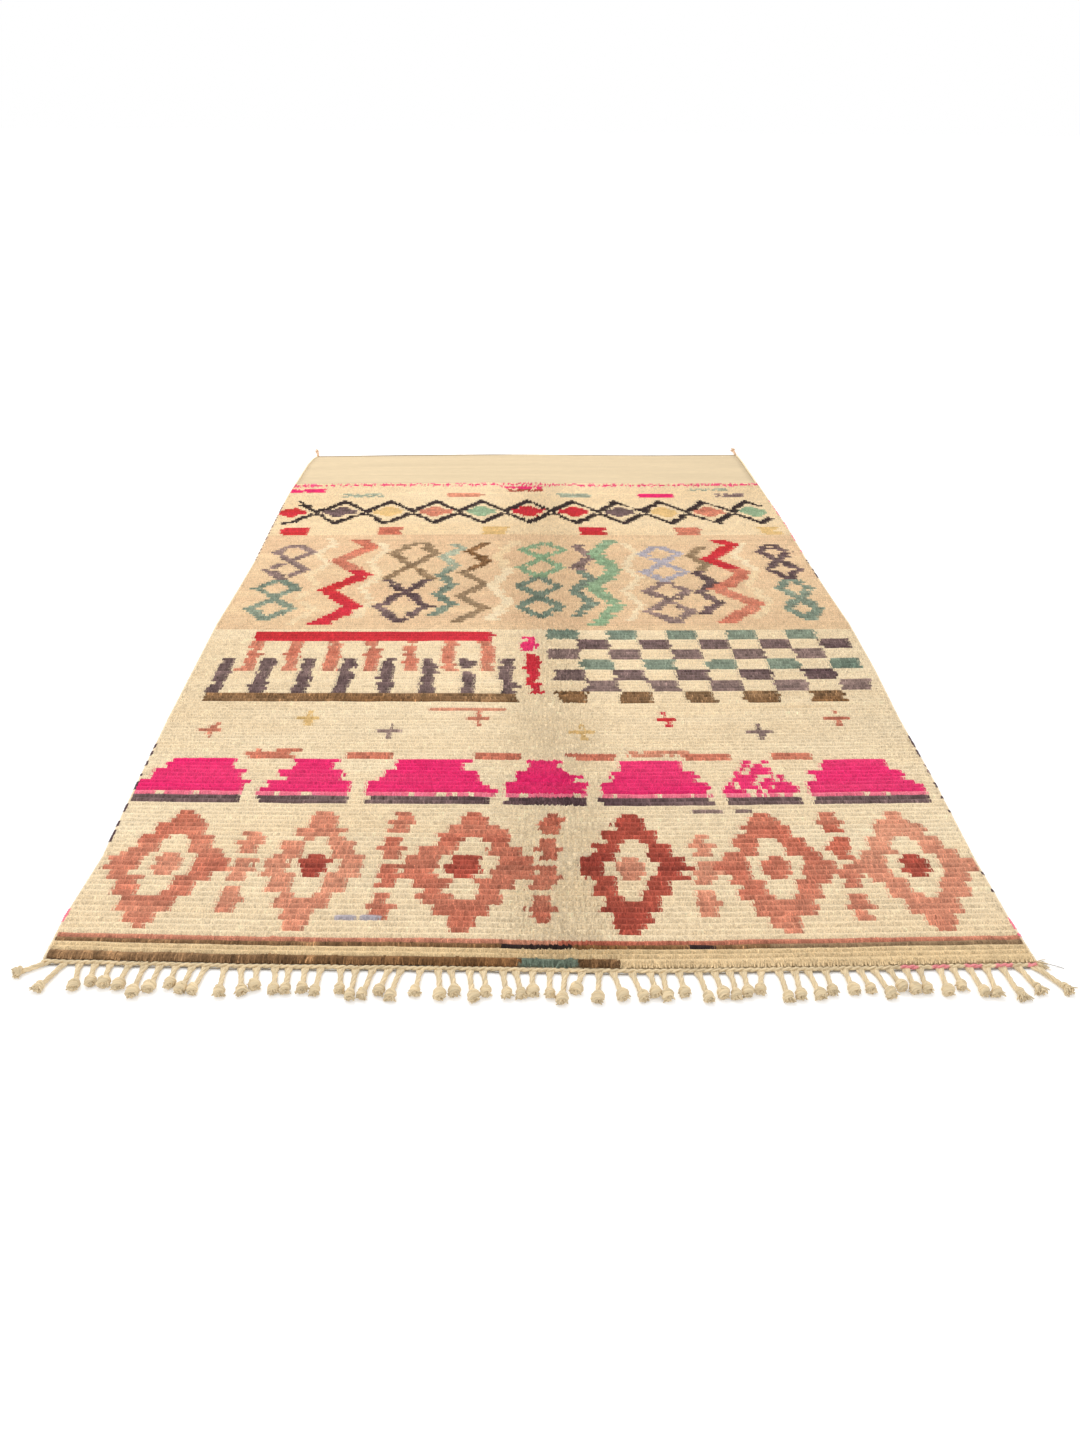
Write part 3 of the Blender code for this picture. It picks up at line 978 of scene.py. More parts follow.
# The pile: cut tails to a knot, strands to a tail, and the share of tails at a colour's edge that
# stray over it
PILE_PIECES = 4
TAILS = 2
STRANDS = 2
STRAY_TAILS = 0.12
LOWEST_PILE = 0.0014
TALLEST_PILE = 0.0190
EDGE_SINK = 0.001
# Painted shade on the walls where the pile ends at the near and far rows, as a share of the yarn's
# colour
EDGE_PAINTED_SHADE = 0.5
PILE_HEAVE = 0.0006
PILE_SWELL = 0.0009
SWELL_ALONG = 4.3
SWELL_ACROSS = 3.1
GROOVE_BREAKS = 0.17
STRAND_HALF_WIDTH = 0.0028
STRAND_HALF_LENGTH = 0.0079
STRAND_FOOT = 0.0104
STRAND_WIDTHS = (0.85, 1.20)
STRAND_LENGTHS = (0.86, 1.12)
STRAND_LEANS = (0.25, 0.85)
DYE_SCATTER = 1.15
SEED_STEP = 3.7

# How strands scatter, and how much more on the fold: places in rows, heights, turns
SHARE_SCATTER = 0.10
ROW_SCATTER, FOLD_ROW_SCATTER = 0.060, 0.05
HEIGHT_SCATTER, FOLD_HEIGHT_SCATTER = 0.0004, 0.0009
TURN_SCATTER, FOLD_TURN_SCATTER = 0.16, 0.25
TIP_SCATTER = 0.0007

# On the fold strands gather to their knot, and are thinner, shorter and steeper, as shares
FOLD_GATHER = 0.38
FOLD_THINNER = 0.12
FOLD_SHORTER = 0.18
FOLD_STEEPER = 0.4

# Where the pile is loose, strands rise, sway across and along, are wider and turn
LOOSE_RISE = (-0.0010, 0.0028)
LOOSE_SWAY = 0.30
LOOSE_ROW_SWAY = 0.10
LOOSE_WIDER = 0.5
LOOSE_TURN = 0.55

# The first row hangs over the near edge, with a second, lower line of strands in front of it: how
# far, in rows, metres or shares
FRONT_REACH = 0.0008
FRONT_DROP = 0.00102
LOWER_ROWS = 0.20
LOWER_SINK = (0.0020, 0.0042)
LOWER_FOOT = 0.0026
LOWER_SHORTER = 0.36
LOWER_DROP = 0.00238
# Painted shade: the lower line of strands is darker by this share
LOWER_PAINTED_SHADE = 0.22

# Where rows of knots lie: row, its place in row pitches
ROW_SPACING = ((0.0, 0.0), (1.0, 1.3), (5.0, 4.4), (14.0, 14.0), (178.0, 178.0))

# How loose the pile stands along the fold: row, share
LOOSE_ROWS = ((0, 0.3), (30, 0.6), (60, 1.0), (100, 0.5), (178, 0.2))

# How rows wander: reach in row pitches, tails to a wave
ROW_WAVES = ((0.10, 14), (0.09, 5))

# A strand's corners: place across and along it, drop below its foot, shade, and the way it faces. The
# shade is painted light and shade: a little darker at the feet, lighter at the raised tip
STRAND_CORNERS = (
    (-0.42, -1.00, 0.0011, 0.97, (-0.30, -0.30, 1.0)),
    (0.42, -1.00, 0.0011, 0.97, (0.30, -0.30, 1.0)),
    (0.92, 0.72, 0.0004, 0.95, (0.45, 0.10, 1.0)),
    (-0.92, 0.72, 0.0004, 0.95, (-0.45, 0.10, 1.0)),
    (0.00, 0.00, 0.0000, 1.05, (0.00, -0.10, 1.0)),
)

# A row's roll under the tufts: share through the row, height, shade of the yarn there; the shade is
# painted shade, darkest in the groove between rows and a little on the roll under the tufts
ROLL_PROFILE = ((0.02, 0.0092, 0.70), (0.24, 0.0113, 0.94), (0.82, 0.0113, 0.94))

# Loose patches of pile: first row, last row, share from, share to
SHAGGY_PATCHES = ((5, 7, 0.565, 0.60), (5, 8, 0.635, 0.69), (4, 6, 0.20, 0.23))


def grid_faces(tall, wide, start=0, flip=False):
    """Quads of a grid of tall x wide points numbered row by row."""
    rows, columns = np.meshgrid(np.arange(tall - 1), np.arange(wide - 1), indexing="ij")
    corner = start + rows * wide + columns
    quads = np.stack([corner, corner + 1, corner + wide + 1, corner + wide], axis=-1).reshape(-1, 4)
    return quads[:, ::-1] if flip else quads


def grid_places(tall, wide):
    """Each grid point's place on a unit bake map."""
    downward, across = np.linspace(0.004, 0.996, tall), np.linspace(0.01, 0.99, wide)
    down, over = np.meshgrid(downward, across, indexing="ij")
    return np.stack([over, down], axis=-1).reshape(-1, 2)


def rim_of_grid(rows, shares, start):
    """Numbers of the points round a grid's rim, and how far round each lies, from 0 to 4."""
    tall, wide = len(rows), len(shares)
    along = rows / rows[-1]
    numbers = np.concatenate(
        [
            np.arange(wide - 1),
            np.arange(tall - 1) * wide + wide - 1,
            (tall - 1) * wide + np.arange(wide - 1, 0, -1),
            np.arange(tall - 1, -1, -1) * wide,
        ]
    )
    places = np.concatenate([shares[:-1], 1 + along[:-1], 3 - shares[:0:-1], 4 - along[::-1]])
    return numbers + start, places


def wall_between(top, bottom):
    """Triangles that join two rims of unlike counts, and each corner's place on a unit map."""
    upper, upper_at = top
    lower, lower_at = bottom
    first, second = 0, 0
    triangles, places = [], []
    while first < len(upper) - 1 or second < len(lower) - 1:
        corners = [(upper, upper_at, first, 0.1), (lower, lower_at, second, 0.9)]
        last_lower = second == len(lower) - 1
        if last_lower or (first < len(upper) - 1 and upper_at[first + 1] <= lower_at[second + 1]):
            first += 1
            corners.append((upper, upper_at, first, 0.1))
        else:
            second += 1
            corners.append((lower, lower_at, second, 0.9))
        triangles.append([numbers[index] for numbers, _, index, _ in corners])
        places.append([(across, at[index] / 4) for _, at, index, across in corners])
    return np.array(triangles), np.array(places)


def weave_ground(yarns, pile, colours):
    """The woven ground, closed: a back that shows the knots, a plain top, the flat band."""
    rng = np.random.default_rng(5)
    band_rows = np.linspace(pile.rows, LAST_ROW, BAND_STATIONS + 1)
    top_rows = np.concatenate([np.linspace(0, pile.rows, GROUND_TOP_ROWS + 1)[:-1], band_rows])
    back_band = np.linspace(pile.rows, LAST_ROW, BAND_BACK_STATIONS + 1)
    back_rows = np.concatenate([np.arange(pile.rows), back_band])
    top_shares = np.linspace(0.0, 1.0, GROUND_TOP_COLUMNS + 1)
    back_shares = np.linspace(0.0, 1.0, pile.knots + 1)
    top = np.stack(cloth_points(top_rows[:, None], top_shares[None]), axis=-1)
    back = np.stack(cloth_points(back_rows[:, None], back_shares[None]), axis=-1)
    heights = np.where(top_rows <= pile.rows, pile.ground_top, pile.flat_top)[:, None]
    taper = np.clip(1 - (LAST_ROW - top_rows) * ROW_PITCH / BAND_TAPER, 0, 1)[:, None]
    heights = heights - BAND_TAPER_DROP * taper + 0.5 * FOLD_RISE * fold_weight(top_shares)[None]
    heights = heights + BAND_WAVE * soft_noise(rng, len(top_rows), len(top_shares), 4, 7)
    low = np.full((*back.shape[:2], 1), GROUND_BOTTOM)
    points = np.concatenate(
        [
            np.concatenate([top, heights[..., None]], axis=-1).reshape(-1, 3),
            np.concatenate([back, low], axis=-1).reshape(-1, 3),
        ]
    )
    streak = 1 + BAND_STREAK * soft_noise(rng, len(top_rows), len(top_shares), 1.2, 12)[..., None]
    row = np.clip(back_rows.astype(int), 0, pile.rows - 1)
    tail = np.clip((back_shares * pile.knots * TAILS).astype(int), 0, pile.knots * TAILS - 1)
    band = np.array(yarns.band)
    knots_behind = colours[row][:, tail] * BACK_SHADE
    back_shade = np.where((back_rows >= pile.rows)[:, None, None], band, knots_behind)
    shades = np.concatenate([(band * streak).reshape(-1, 3), back_shade.reshape(-1, 3)])
    start = top.shape[0] * top.shape[1]
    made = Patch(points, shades, points * FIBRES_ALONG)
    top_places = grid_places(*top.shape[:2]) * GRID_LANE
    back_places = grid_places(*back.shape[:2]) * GRID_LANE + BACK_LANE_START
    places = np.concatenate([top_places, back_places])
    for faces in (grid_faces(*top.shape[:2]), grid_faces(*back.shape[:2], start, flip=True)):
        made.add(faces, places[faces])
    rims = rim_of_grid(top_rows, top_shares, 0), rim_of_grid(back_rows, back_shares, start)
    walls, wall_places = wall_between(*rims)
    made.add(walls, wall_places * WALL_LANE + WALL_LANE_START)
    return piece_of_patches("ground_weave", [made], ground_material(pile.rib_pitch))


def row_places(rows):
    """Where rows of knots lie, in row pitches: the first is full, the next few are beaten close."""
    return np.interp(rows, *np.array(ROW_SPACING).T)


def shag(pile):
    """How far the pile stands loose, tail by tail: along the fold, and in a few patches."""
    rng = np.random.default_rng(31)
    across = pile.knots * TAILS
    share = (np.arange(across) + 0.5) / across
    loose = np.clip(0.75 + 0.9 * soft_noise(rng, pile.rows, across, 7, 16), 0, 1)
    by_row = np.interp(np.arange(pile.rows), *np.array(LOOSE_ROWS).T)
    field = loose * by_row[:, None] * fold_weight(share)[None]
    for first, last, start, end in SHAGGY_PATCHES:
        edge = np.clip(4 - np.abs(share - (start + end) / 2) * 8 / (end - start), 0, 1)
        field[first:last] = np.maximum(field[first:last], edge[None])
    return field


def row_straying(pile):
    """How far the rows wander, tail by tail, in row pitches."""
    rng = np.random.default_rng(37)
    shape = (pile.rows + 1, pile.knots * TAILS)
    return sum(reach * soft_noise(rng, *shape, 0.9, tails) for reach, tails in ROW_WAVES)


def under_pile(pile, colours, first_row, last_row):
    """The close lower part of the pile: one surface, a roll to each row."""
    rolls = [(row, *station) for row in range(first_row, last_row) for station in ROLL_PROFILE]
    rolls.append((last_row, *ROLL_PROFILE[0]))
    edge = pile.ground_top - EDGE_SINK, EDGE_PAINTED_SHADE
    if first_row == 0:
        rolls.insert(0, (0, ROLL_PROFILE[0][0], *edge))
    if last_row == pile.rows:
        rolls.append((last_row, 0.0, *edge))
    rows, within, heights, shades = np.array(rolls).T
    rows = rows.astype(int)
    knots = np.concatenate([[0], np.arange(pile.knots + 1), [pile.knots]])
    shares = knots / pile.knots
    tails = np.clip(knots * TAILS, 0, pile.knots * TAILS - 1)
    straying = row_straying(pile)[np.clip(rows, 0, pile.rows)][:, tails]
    inner = np.clip(np.minimum(rows + within, pile.rows - rows - within), 0, 1)[:, None]
    place = row_places(rows + within)[:, None] + straying * inner
    x, y = cloth_points(place, shares[None])
    fold = fold_weight(shares)[None]
    z = np.maximum(heights[:, None] + (FOLD_RISE - FOLD_PARTING) * fold, LOWEST_PILE)
    z[:, [0, -1]] = pile.ground_top - EDGE_SINK
    points = np.stack([x, y, z], axis=-1).reshape(-1, 3)
    # The yarn's colour darkened by painted shade: in the grooves between rows, under the tufts and on
    # the walls at the pile's ends
    colour_with_painted_shade = colours[np.clip(rows, 0, pile.rows - 1)][:, tails] * shades[:, None, None]
    made = Patch(points, colour_with_painted_shade.reshape(-1, 3), points * FIBRES_ACROSS)
    faces = grid_faces(len(rows), len(knots))
    return made.add(faces, grid_places(len(rows), len(knots))[faces])


def tufts(pile, colours, uneven, first_row, last_row):
    """The cut ends of the knots: short flat strands side by side, leaning towards the near end."""
    rng = np.random.default_rng(100 + first_row)
    wave = np.random.default_rng(38)
    across = pile.knots * TAILS
    lines = np.arange(first_row, last_row)
    if first_row == 0:
        lines = np.insert(lines, 0, 0)
    rows, strands, tails = np.meshgrid(lines, np.arange(STRANDS), np.arange(across), indexing="ij")
    shape = rows.shape
    lower = np.zeros(shape)
    lower[0] = first_row == 0
    straying = row_straying(pile)[lines][:, None]
    heave = PILE_HEAVE * soft_noise(wave, pile.rows, across, 1.2, 9)[lines][:, None]
    loose = shag(pile)[lines][:, None] * np.ones(shape)
    fold = fold_weight((tails + 0.5) / across)

    # Where each strand stands
    from_middle = tails % TAILS + (strands + 0.5) / STRANDS - TAILS / 2
    sway = np.repeat(rng.normal(0, 1, (shape[0], 1, pile.knots)), TAILS, axis=2)
    share = tails - tails % TAILS + TAILS / 2 + from_middle * (1 - FOLD_GATHER * fold)
    share = share + LOOSE_SWAY * loose * sway
    share = np.clip((share + rng.normal(0, SHARE_SCATTER, shape)) / across, 0.0005, 0.9995)
    middle = rows + 0.5 - LOWER_ROWS * lower
    row = row_places(middle + rng.normal(0, ROW_SCATTER + FOLD_ROW_SCATTER * fold, shape)) + straying
    x, y = cloth_points(row + LOOSE_ROW_SWAY * loose * sway, share)

    # How high it reaches, how wide and long it is, and which way it lies
    swell = PILE_SWELL * np.sin(SWELL_ALONG * y) * np.cos(SWELL_ACROSS * x)
    top = pile.height + FOLD_RISE * fold + swell + heave
    top = top + rng.normal(0, HEIGHT_SCATTER + FOLD_HEIGHT_SCATTER * fold, shape)
    top = np.minimum(top + loose * rng.uniform(*LOOSE_RISE, shape), TALLEST_PILE)
    top = top - lower * rng.uniform(*LOWER_SINK, shape)
    foot = STRAND_FOOT + (FOLD_RISE - FOLD_PARTING) * fold - LOWER_FOOT * lower
    wide = STRAND_HALF_WIDTH * rng.uniform(*STRAND_WIDTHS, shape)
    wide = wide * (1 - FOLD_THINNER * fold) * (1 + LOOSE_WIDER * loose)
    pitch = row_places(rows + 1.0) - row_places(rows)
    closing = 1 + GROOVE_BREAKS * soft_noise(wave, pile.rows, across, 0.9, 8)[lines][:, None]
    closing = closing - LOWER_SHORTER * lower
    long = STRAND_HALF_LENGTH * pitch * closing * rng.uniform(*STRAND_LENGTHS, shape)
    long = long * (1 - FOLD_SHORTER * fold)
    turn = rng.normal(0, TURN_SCATTER + FOLD_TURN_SCATTER * fold, shape)
    turn = turn + loose * rng.normal(0, LOOSE_TURN, shape)
    cosine, sine = np.cos(turn), np.sin(turn)

    # Its corners and the ways they face
    front = rows == 0
    corners, facings = [], []
    for over, along, drop, _, (east, north, up) in STRAND_CORNERS:
        out, back = over * wide, along * long
        height = foot - drop
        if along < 0:
            back = back - FRONT_REACH * front
            height = height - FRONT_DROP * front - LOWER_DROP * lower
        place = (x + out * cosine - back * sine, y + out * sine + back * cosine, height)
        facing = (east * cosine - north * sine, east * sine + north * cosine, np.full(shape, up))
        corners.append(np.stack(place, axis=-1))
        facings.append(np.stack(facing, axis=-1))
    lean = pile.slope * (1 - FOLD_STEEPER * fold) * rng.uniform(*STRAND_LEANS, shape)
    corners[-1][..., 0] += lean * sine + rng.normal(0, TIP_SCATTER, shape)
    corners[-1][..., 1] -= lean * cosine
    corners[-1][..., 2] = top
    points = np.stack(corners, axis=-2).reshape(-1, 5, 3)
    normals = unit(np.stack(facings, axis=-2).reshape(-1, 3))

    # Its colour, with painted light and shade at its corners and painted shade on the lower line of
    # strands, and the lay of its fibres
    dye_and_painted_shade = np.exp(uneven[rows, tails] * rng.normal(0, DYE_SCATTER, shape)) * (1 - LOWER_PAINTED_SHADE * lower)
    shades = np.array([corner[3] for corner in STRAND_CORNERS])[None, :, None]
    shade = (colours[rows, tails] * dye_and_painted_shade[..., None]).reshape(-1, 1, 3) * shades
    shade = np.clip(shade, 0, BRIGHTEST).reshape(-1, 3)
    seeds = np.arange(len(points))[:, None, None] * SEED_STEP
    lay = (points - points[:, 4:]) * (FIBRES_ACROSS, CURLS_ALONG, FIBRES_ACROSS) + seeds
    made = Patch(points.reshape(-1, 3), shade, lay.reshape(-1, 3), normals)
    sides = np.array([(0, 1, 4), (1, 2, 4), (2, 3, 4), (3, 0, 4)])
    square = np.array([(0.0, 0.0), (1.0, 0.0), (1.0, 1.0), (0.0, 1.0), (0.5, 0.5)])
    faces = sides[None] + 5 * np.arange(len(points))[:, None, None]
    return made.add(faces.reshape(-1, 3), cell_places(square[sides], len(points)))


class RugMaker:
    """What the operators share: each is a step in the scene, without undo steps of its own."""

    bl_options = {"REGISTER"}

    def dress(self, piece, node, slot):
        """Puts a piece on the rug in place of a solid; its slot is not used."""
        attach(piece, "root")
        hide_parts(node)
        return piece


class RUG_OT_weave_ground(RugMaker, bpy.types.Operator):
    """Weave the ground that carries the knots, with the ribbed flat band at the far end"""

    bl_idname = "rug.weave_ground"
    bl_label = "Weave the Ground"

    def execute(self, context):
        yarns, pile, _, _ = settings()
        colours, _ = tail_colours(chart_design(pile.rows, pile.knots), yarns)
        self.dress(weave_ground(yarns, pile, colours), "woven_rug", "wool_pile")
        return {"FINISHED"}


class RUG_OT_knot_pile(RugMaker, bpy.types.Operator):
    """Knot the pile row by row in the colours of the chart"""

    bl_idname = "rug.knot_pile"
    bl_label = "Knot the Pile"

    def execute(self, context):
        yarns, pile, _, _ = settings()
        colours, uneven = tail_colours(chart_design(pile.rows, pile.knots), yarns)
        wool = wool_material("pile_wool", 0.28, 0.0017, 0.05)
        bounds = np.linspace(0, pile.rows, PILE_PIECES + 1).astype(int)
        for number, (low, high) in enumerate(zip(bounds, bounds[1:]), 1):
            patches = [under_pile(pile, colours, low, high), tufts(pile, colours, uneven, low, high)]
            piece = piece_of_patches(f"pile_rows_{number}", patches, wool)
            self.dress(piece, "woven_rug", "wool_pile")
        return {"FINISHED"}


# The overcast sides, the far edging and the near twining

SELVEDGE_RADIUS = 0.0040
SELVEDGE_SIDES = 7
SELVEDGE_STATIONS = 4
STITCH_FULLNESS = 1.18
FAR_CORD_RADIUS = 0.0025
FAR_CORD_LIFT = 0.0034
FAR_STRAND_RADIUS = 0.0014
FAR_STRAND_PITCH = 0.0090
FAR_STATIONS = 1170
STRAND_OFFSET = 0.66

# Coloured turns of the overcast edges: side, low y, high y, yarn, share of turns in it
OVERCAST_COLOURS = (
    ("left", -1.305, -1.265, "pink", 0.80),
    ("left", -1.10, -0.70, "aubergine", 0.55),
    ("left", 0.35, 0.90, "mauve", 0.50),
    ("right", -1.36, -1.31, "pink", 0.85),
    ("right", -1.25, -1.17, "aubergine", 0.35),
    ("right", -1.00, -0.88, "aubergine", 0.45),
    ("right", -0.85, -0.80, "mauve", 0.60),
    ("right", -0.79, -0.67, "aubergine", 0.60),
    ("right", 0.19, 0.36, "aubergine", 0.40),
    ("right", 0.38, 0.90, "pink", 0.40),
)


def overcast_edge(side, line, yarns, fringe):
    """The cord of one long side: yarn wound round it in slanting turns, some of them coloured."""
    outward = -1.0 if side == "left" else 1.0
    pitch = fringe.overcast_pitch / SELVEDGE_STATIONS
    y = np.arange(line[0, 1] + 0.001, line[-1, 1], pitch)
    x = np.interp(y, line[:, 1], line[:, 0]) + outward * (CLOTH_INSET - SELVEDGE_RADIUS)
    rng = np.random.default_rng(41 if side == "left" else 42)
    turns = len(y) // SELVEDGE_STATIONS + 1
    swell = np.repeat(rng.normal(1.0, 0.05, turns), SELVEDGE_STATIONS)[: len(y)]
    path = np.stack([x, y, np.full(len(y), SELVEDGE_RADIUS)], axis=-1)
    angle = 2 * math.pi * np.arange(SELVEDGE_SIDES) / SELVEDGE_SIDES
    phase = 2 * math.pi * np.arange(len(y)) / SELVEDGE_STATIONS
    thread = 0.90 + 0.13 * np.cos(phase[:, None] + angle[None])
    shades = np.tile(np.array(yarns.cream) * 0.93, (turns, 1)) * rng.normal(1.0, 0.05, (turns, 1))
    middle = y[::SELVEDGE_STATIONS][:turns]
    fuller = np.ones(turns)
    for where, low, high, name, part in OVERCAST_COLOURS:
        if where == side:
            stitches = np.repeat(rng.random(len(middle) // 2 + 1), 2)[: len(middle)]
            chosen = (middle > low) & (middle < high) & (stitches < part)
            shades[: len(middle)][chosen] = np.array(getattr(yarns, name)) * 0.95
            fuller[: len(middle)][chosen] = STITCH_FULLNESS
    colour = np.repeat(shades, SELVEDGE_STATIONS, axis=0)[: len(y)]
    swell = swell * np.repeat(fuller, SELVEDGE_STATIONS)[: len(y)]
    made = sweep(path[None], SELVEDGE_RADIUS, SELVEDGE_SIDES)
    centre = path[None, :, None]
    made.rings = centre + (made.rings - centre) * (thread * swell[:, None])[None, :, :, None]
    made.colours = np.broadcast_to(colour[None, :, None], made.rings.shape)
    return rest_on_floor(made)


class RUG_OT_bind_sides(RugMaker, bpy.types.Operator):
    """Overcast both long sides with yarn"""

    bl_idname = "rug.bind_sides"
    bl_label = "Bind the Sides"

    def execute(self, context):
        yarns, _, fringe, _ = settings()
        wool = wool_material("selvedge_wool", 0.12, 0.0005, 0.12)
        for side, line in (("left", LEFT_LINE), ("right", RIGHT_LINE)):
            cord = overcast_edge(side, line, yarns, fringe)
            piece = mesh_of_lofts(f"overcast_{side}", [cord], wool)
            self.dress(piece, f"selvedge_{side}", "selvedge_wool")
        return {"FINISHED"}


def twisted_pair(centre, radius, pitch, stations, sides, colours):
    """Two strands wound round each other along a line that a function of share gives."""
    share = np.linspace(0.0, 1.0, stations)
    line = centre(share)
    run = np.concatenate([[0.0], np.cumsum(np.linalg.norm(np.diff(line, axis=0), axis=1))])
    tangent = unit(np.gradient(line, axis=0))
    across = unit(np.cross(tangent, (0.0, 0.0, 1.0)))
    over = np.cross(across, tangent)
    pairs = []
    for start in (0.0, math.pi):
        turn = (2 * math.pi * run / pitch + start)[:, None]
        pairs.append(line + STRAND_OFFSET * radius * (across * np.cos(turn) + over * np.sin(turn)))
    made = sweep(np.array(pairs), radius, sides)
    made.colours = np.broadcast_to(np.asarray(colours)[:, :, None], made.rings.shape)
    return rest_on_floor(made)


class RUG_OT_edge_far_end(RugMaker, bpy.types.Operator):
    """Close the flat-woven end with a thin twisted cord"""

    bl_idname = "rug.edge_far_end"
    bl_label = "Edge the Far End"

    def execute(self, context):
        yarns, _, _, _ = settings()

        def line(share):
            x = FAR_LINE[0, 0] + share * (FAR_LINE[-1, 0] - FAR_LINE[0, 0])
            y = np.interp(x, FAR_LINE[:, 0], FAR_LINE[:, 1]) + FAR_CORD_RADIUS + GAP
            return np.stack([x, y, np.full(len(x), FAR_CORD_LIFT)], axis=-1)

        rng = np.random.default_rng(51)
        shade = np.array(yarns.edging) * (1 + 0.25 * soft_noise(rng, FAR_STATIONS, 2, 40, 1))[..., None]
        shade = shade.transpose(1, 0, 2)
        cord = twisted_pair(line, FAR_STRAND_RADIUS, FAR_STRAND_PITCH, FAR_STATIONS, 5, shade)
        wool = wool_material("far_cord_wool", 0.12, 0.0004, 0.10)
        self.dress(mesh_of_lofts("far_edging", [cord], wool), "far_edge_cord", "far_cord_wool")
        return {"FINISHED"}


# The near end

UP = np.array((0.0, 0.0, 1.0))
TWINING_SIDES = 6
TWINING_STATIONS = 8
TWINING_SET_BACK = 0.0056
TWINING_LIFT = 0.0040
PINK_TWINING = (0.62, 0.89)
HEADER_YARNS = 3
HEADER_STATIONS = 160
HEADER_RADIUS = 0.0011
THREAD_STATIONS = 320
THREAD_RADIUS = 0.0011
THREAD_SET_BACK = 0.0110
THREAD_LIFT = 0.0020
ROOT_STRANDS = (-0.0053, -0.0018, 0.0018, 0.0053)
ROOT_STATIONS = 7
ROOT_RADIUS = 0.0026
ROOT_SHARE = 0.22
CORD_PLIES = 3
CORD_STATIONS = 13
CORD_START = 0.08
CORD_END = 0.80
CORD_OFFSET = 0.64
CORD_FLATNESS = 0.85
CORD_LIFT = 1.6
KNOT_SHARE = 0.755
KNOT_SIZES = (0.86, 1.14)
KNOT_FLATNESS = 0.80
KNOT_LIFT = 0.74
OPEN_ENDS = 3
OPEN_END_LENGTH = 1.7
OPEN_END_KNOT = 0.68
FRAY_STRANDS = 46
TIE_FRAY_STRANDS = 12
FRAY_RADII = (0.0014, 0.0020, 0.0019, 0.0011)
FRAY_FAN = 0.95
FRAY_BEND = 0.9
FRAY_LENGTHS = (0.45, 1.15)
FRAY_HALF_SPREAD = 0.0064
FRAY_HEIGHTS = (0.0014, 0.0125)
FRAY_DROOPS = (0.25, 0.95)
FRAY_END_LIFT = 0.0010
CORNER_FRAY_STRANDS = 26
CORNER_FRAY_RADII = (0.0014, 0.0014, 0.0012, 0.0009, 0.0006)
LOOSE_YARN_RADIUS = 0.0007

# The two turns of a tassel's knot: turns, stations, start in radians, advance along the cord, and
# the turn's and the cord's radius as shares of the knot's
KNOT_TURNS = (
    (1.55, 16, 0.3, 0.0050, 0.52, 0.46),
    (0.80, 10, 2.4, -0.0056, 0.64, 0.40),
)


def strip_back_y(x):
    """y of the near strip's back edge."""
    return np.interp(x, NEAR_LINE[:, 0], NEAR_LINE[:, 1]) - GAP


def tassel_line(root, lean, curl, reach, share):
    """(x, y, heading) on a tassel's line, which leaves its root at a lean and curls on its way."""
    x, y = root
    step_length = reach * share / LINE_STEPS
    for step in range(LINE_STEPS):
        heading = lean + curl * share * (step + 0.5) / LINE_STEPS
        x += math.sin(heading) * step_length
        y -= math.cos(heading) * step_length
    return x, y, lean + curl * share


def too_close(first, second):
    """True if two tassels' solids come nearer than their clearance."""
    for share_a, half_a in TASSEL_SOLID:
        ax, ay, _ = tassel_line(*first, share_a)
        for share_b, half_b in TASSEL_SOLID:
            bx, by, _ = tassel_line(*second, share_b)
            if math.hypot(ax - bx, ay - by) < half_a + half_b + TASSEL_CLEARANCE:
                return True
    return False


def tassel_lay():
    """Root, lean, curl and length of each tassel, as the solids have them."""
    left = NEAR_LINE[0, 0] - CLOTH_INSET + ROOT_MARGIN
    right = NEAR_LINE[-1, 0] + CLOTH_INSET - ROOT_MARGIN
    lay = []
    for index in range(TASSEL_COUNT):
        at_corner = index in (0, TASSEL_COUNT - 1)
        shift = 0.0 if at_corner else ROOT_UNEVENNESS * (2 * scatter(index, 1) - 1)
        x = left + (right - left) * index / (TASSEL_COUNT - 1) + shift
        root = (x, float(strip_back_y(x)) - STRIP_DEPTH)
        drift = math.sin(index * 0.83) * math.sin(index * 0.31 + 1.0)
        lean = CORNER_LEANS.get(index, TASSEL_LEAN * (drift + scatter(index, 2) - 0.5))
        curl = TASSEL_CURL * (2 * scatter(index, 3) - 1)
        reach = TASSEL_SHORTEST + (TASSEL_LONGEST - TASSEL_SHORTEST) * scatter(index, 4)
        while lay and too_close(lay[-1], (root, lean, curl, reach)):
            lean += LEAN_STEP
        lay.append((root, lean, curl, reach))
    return lay


def tassel_frames(lay, shares):
    """Centre, sideways direction and onward direction of each tassel at the shares, as arrays."""
    lines = np.array([[tassel_line(*tassel, share) for share in shares] for tassel in lay])
    heading = lines[..., 2]
    side = np.stack([np.cos(heading), np.sin(heading), np.zeros_like(heading)], axis=-1)
    ahead = np.stack([np.sin(heading), -np.cos(heading), np.zeros_like(heading)], axis=-1)
    centre = np.stack([lines[..., 0], lines[..., 1], np.zeros_like(heading)], axis=-1)
    return centre, side, ahead


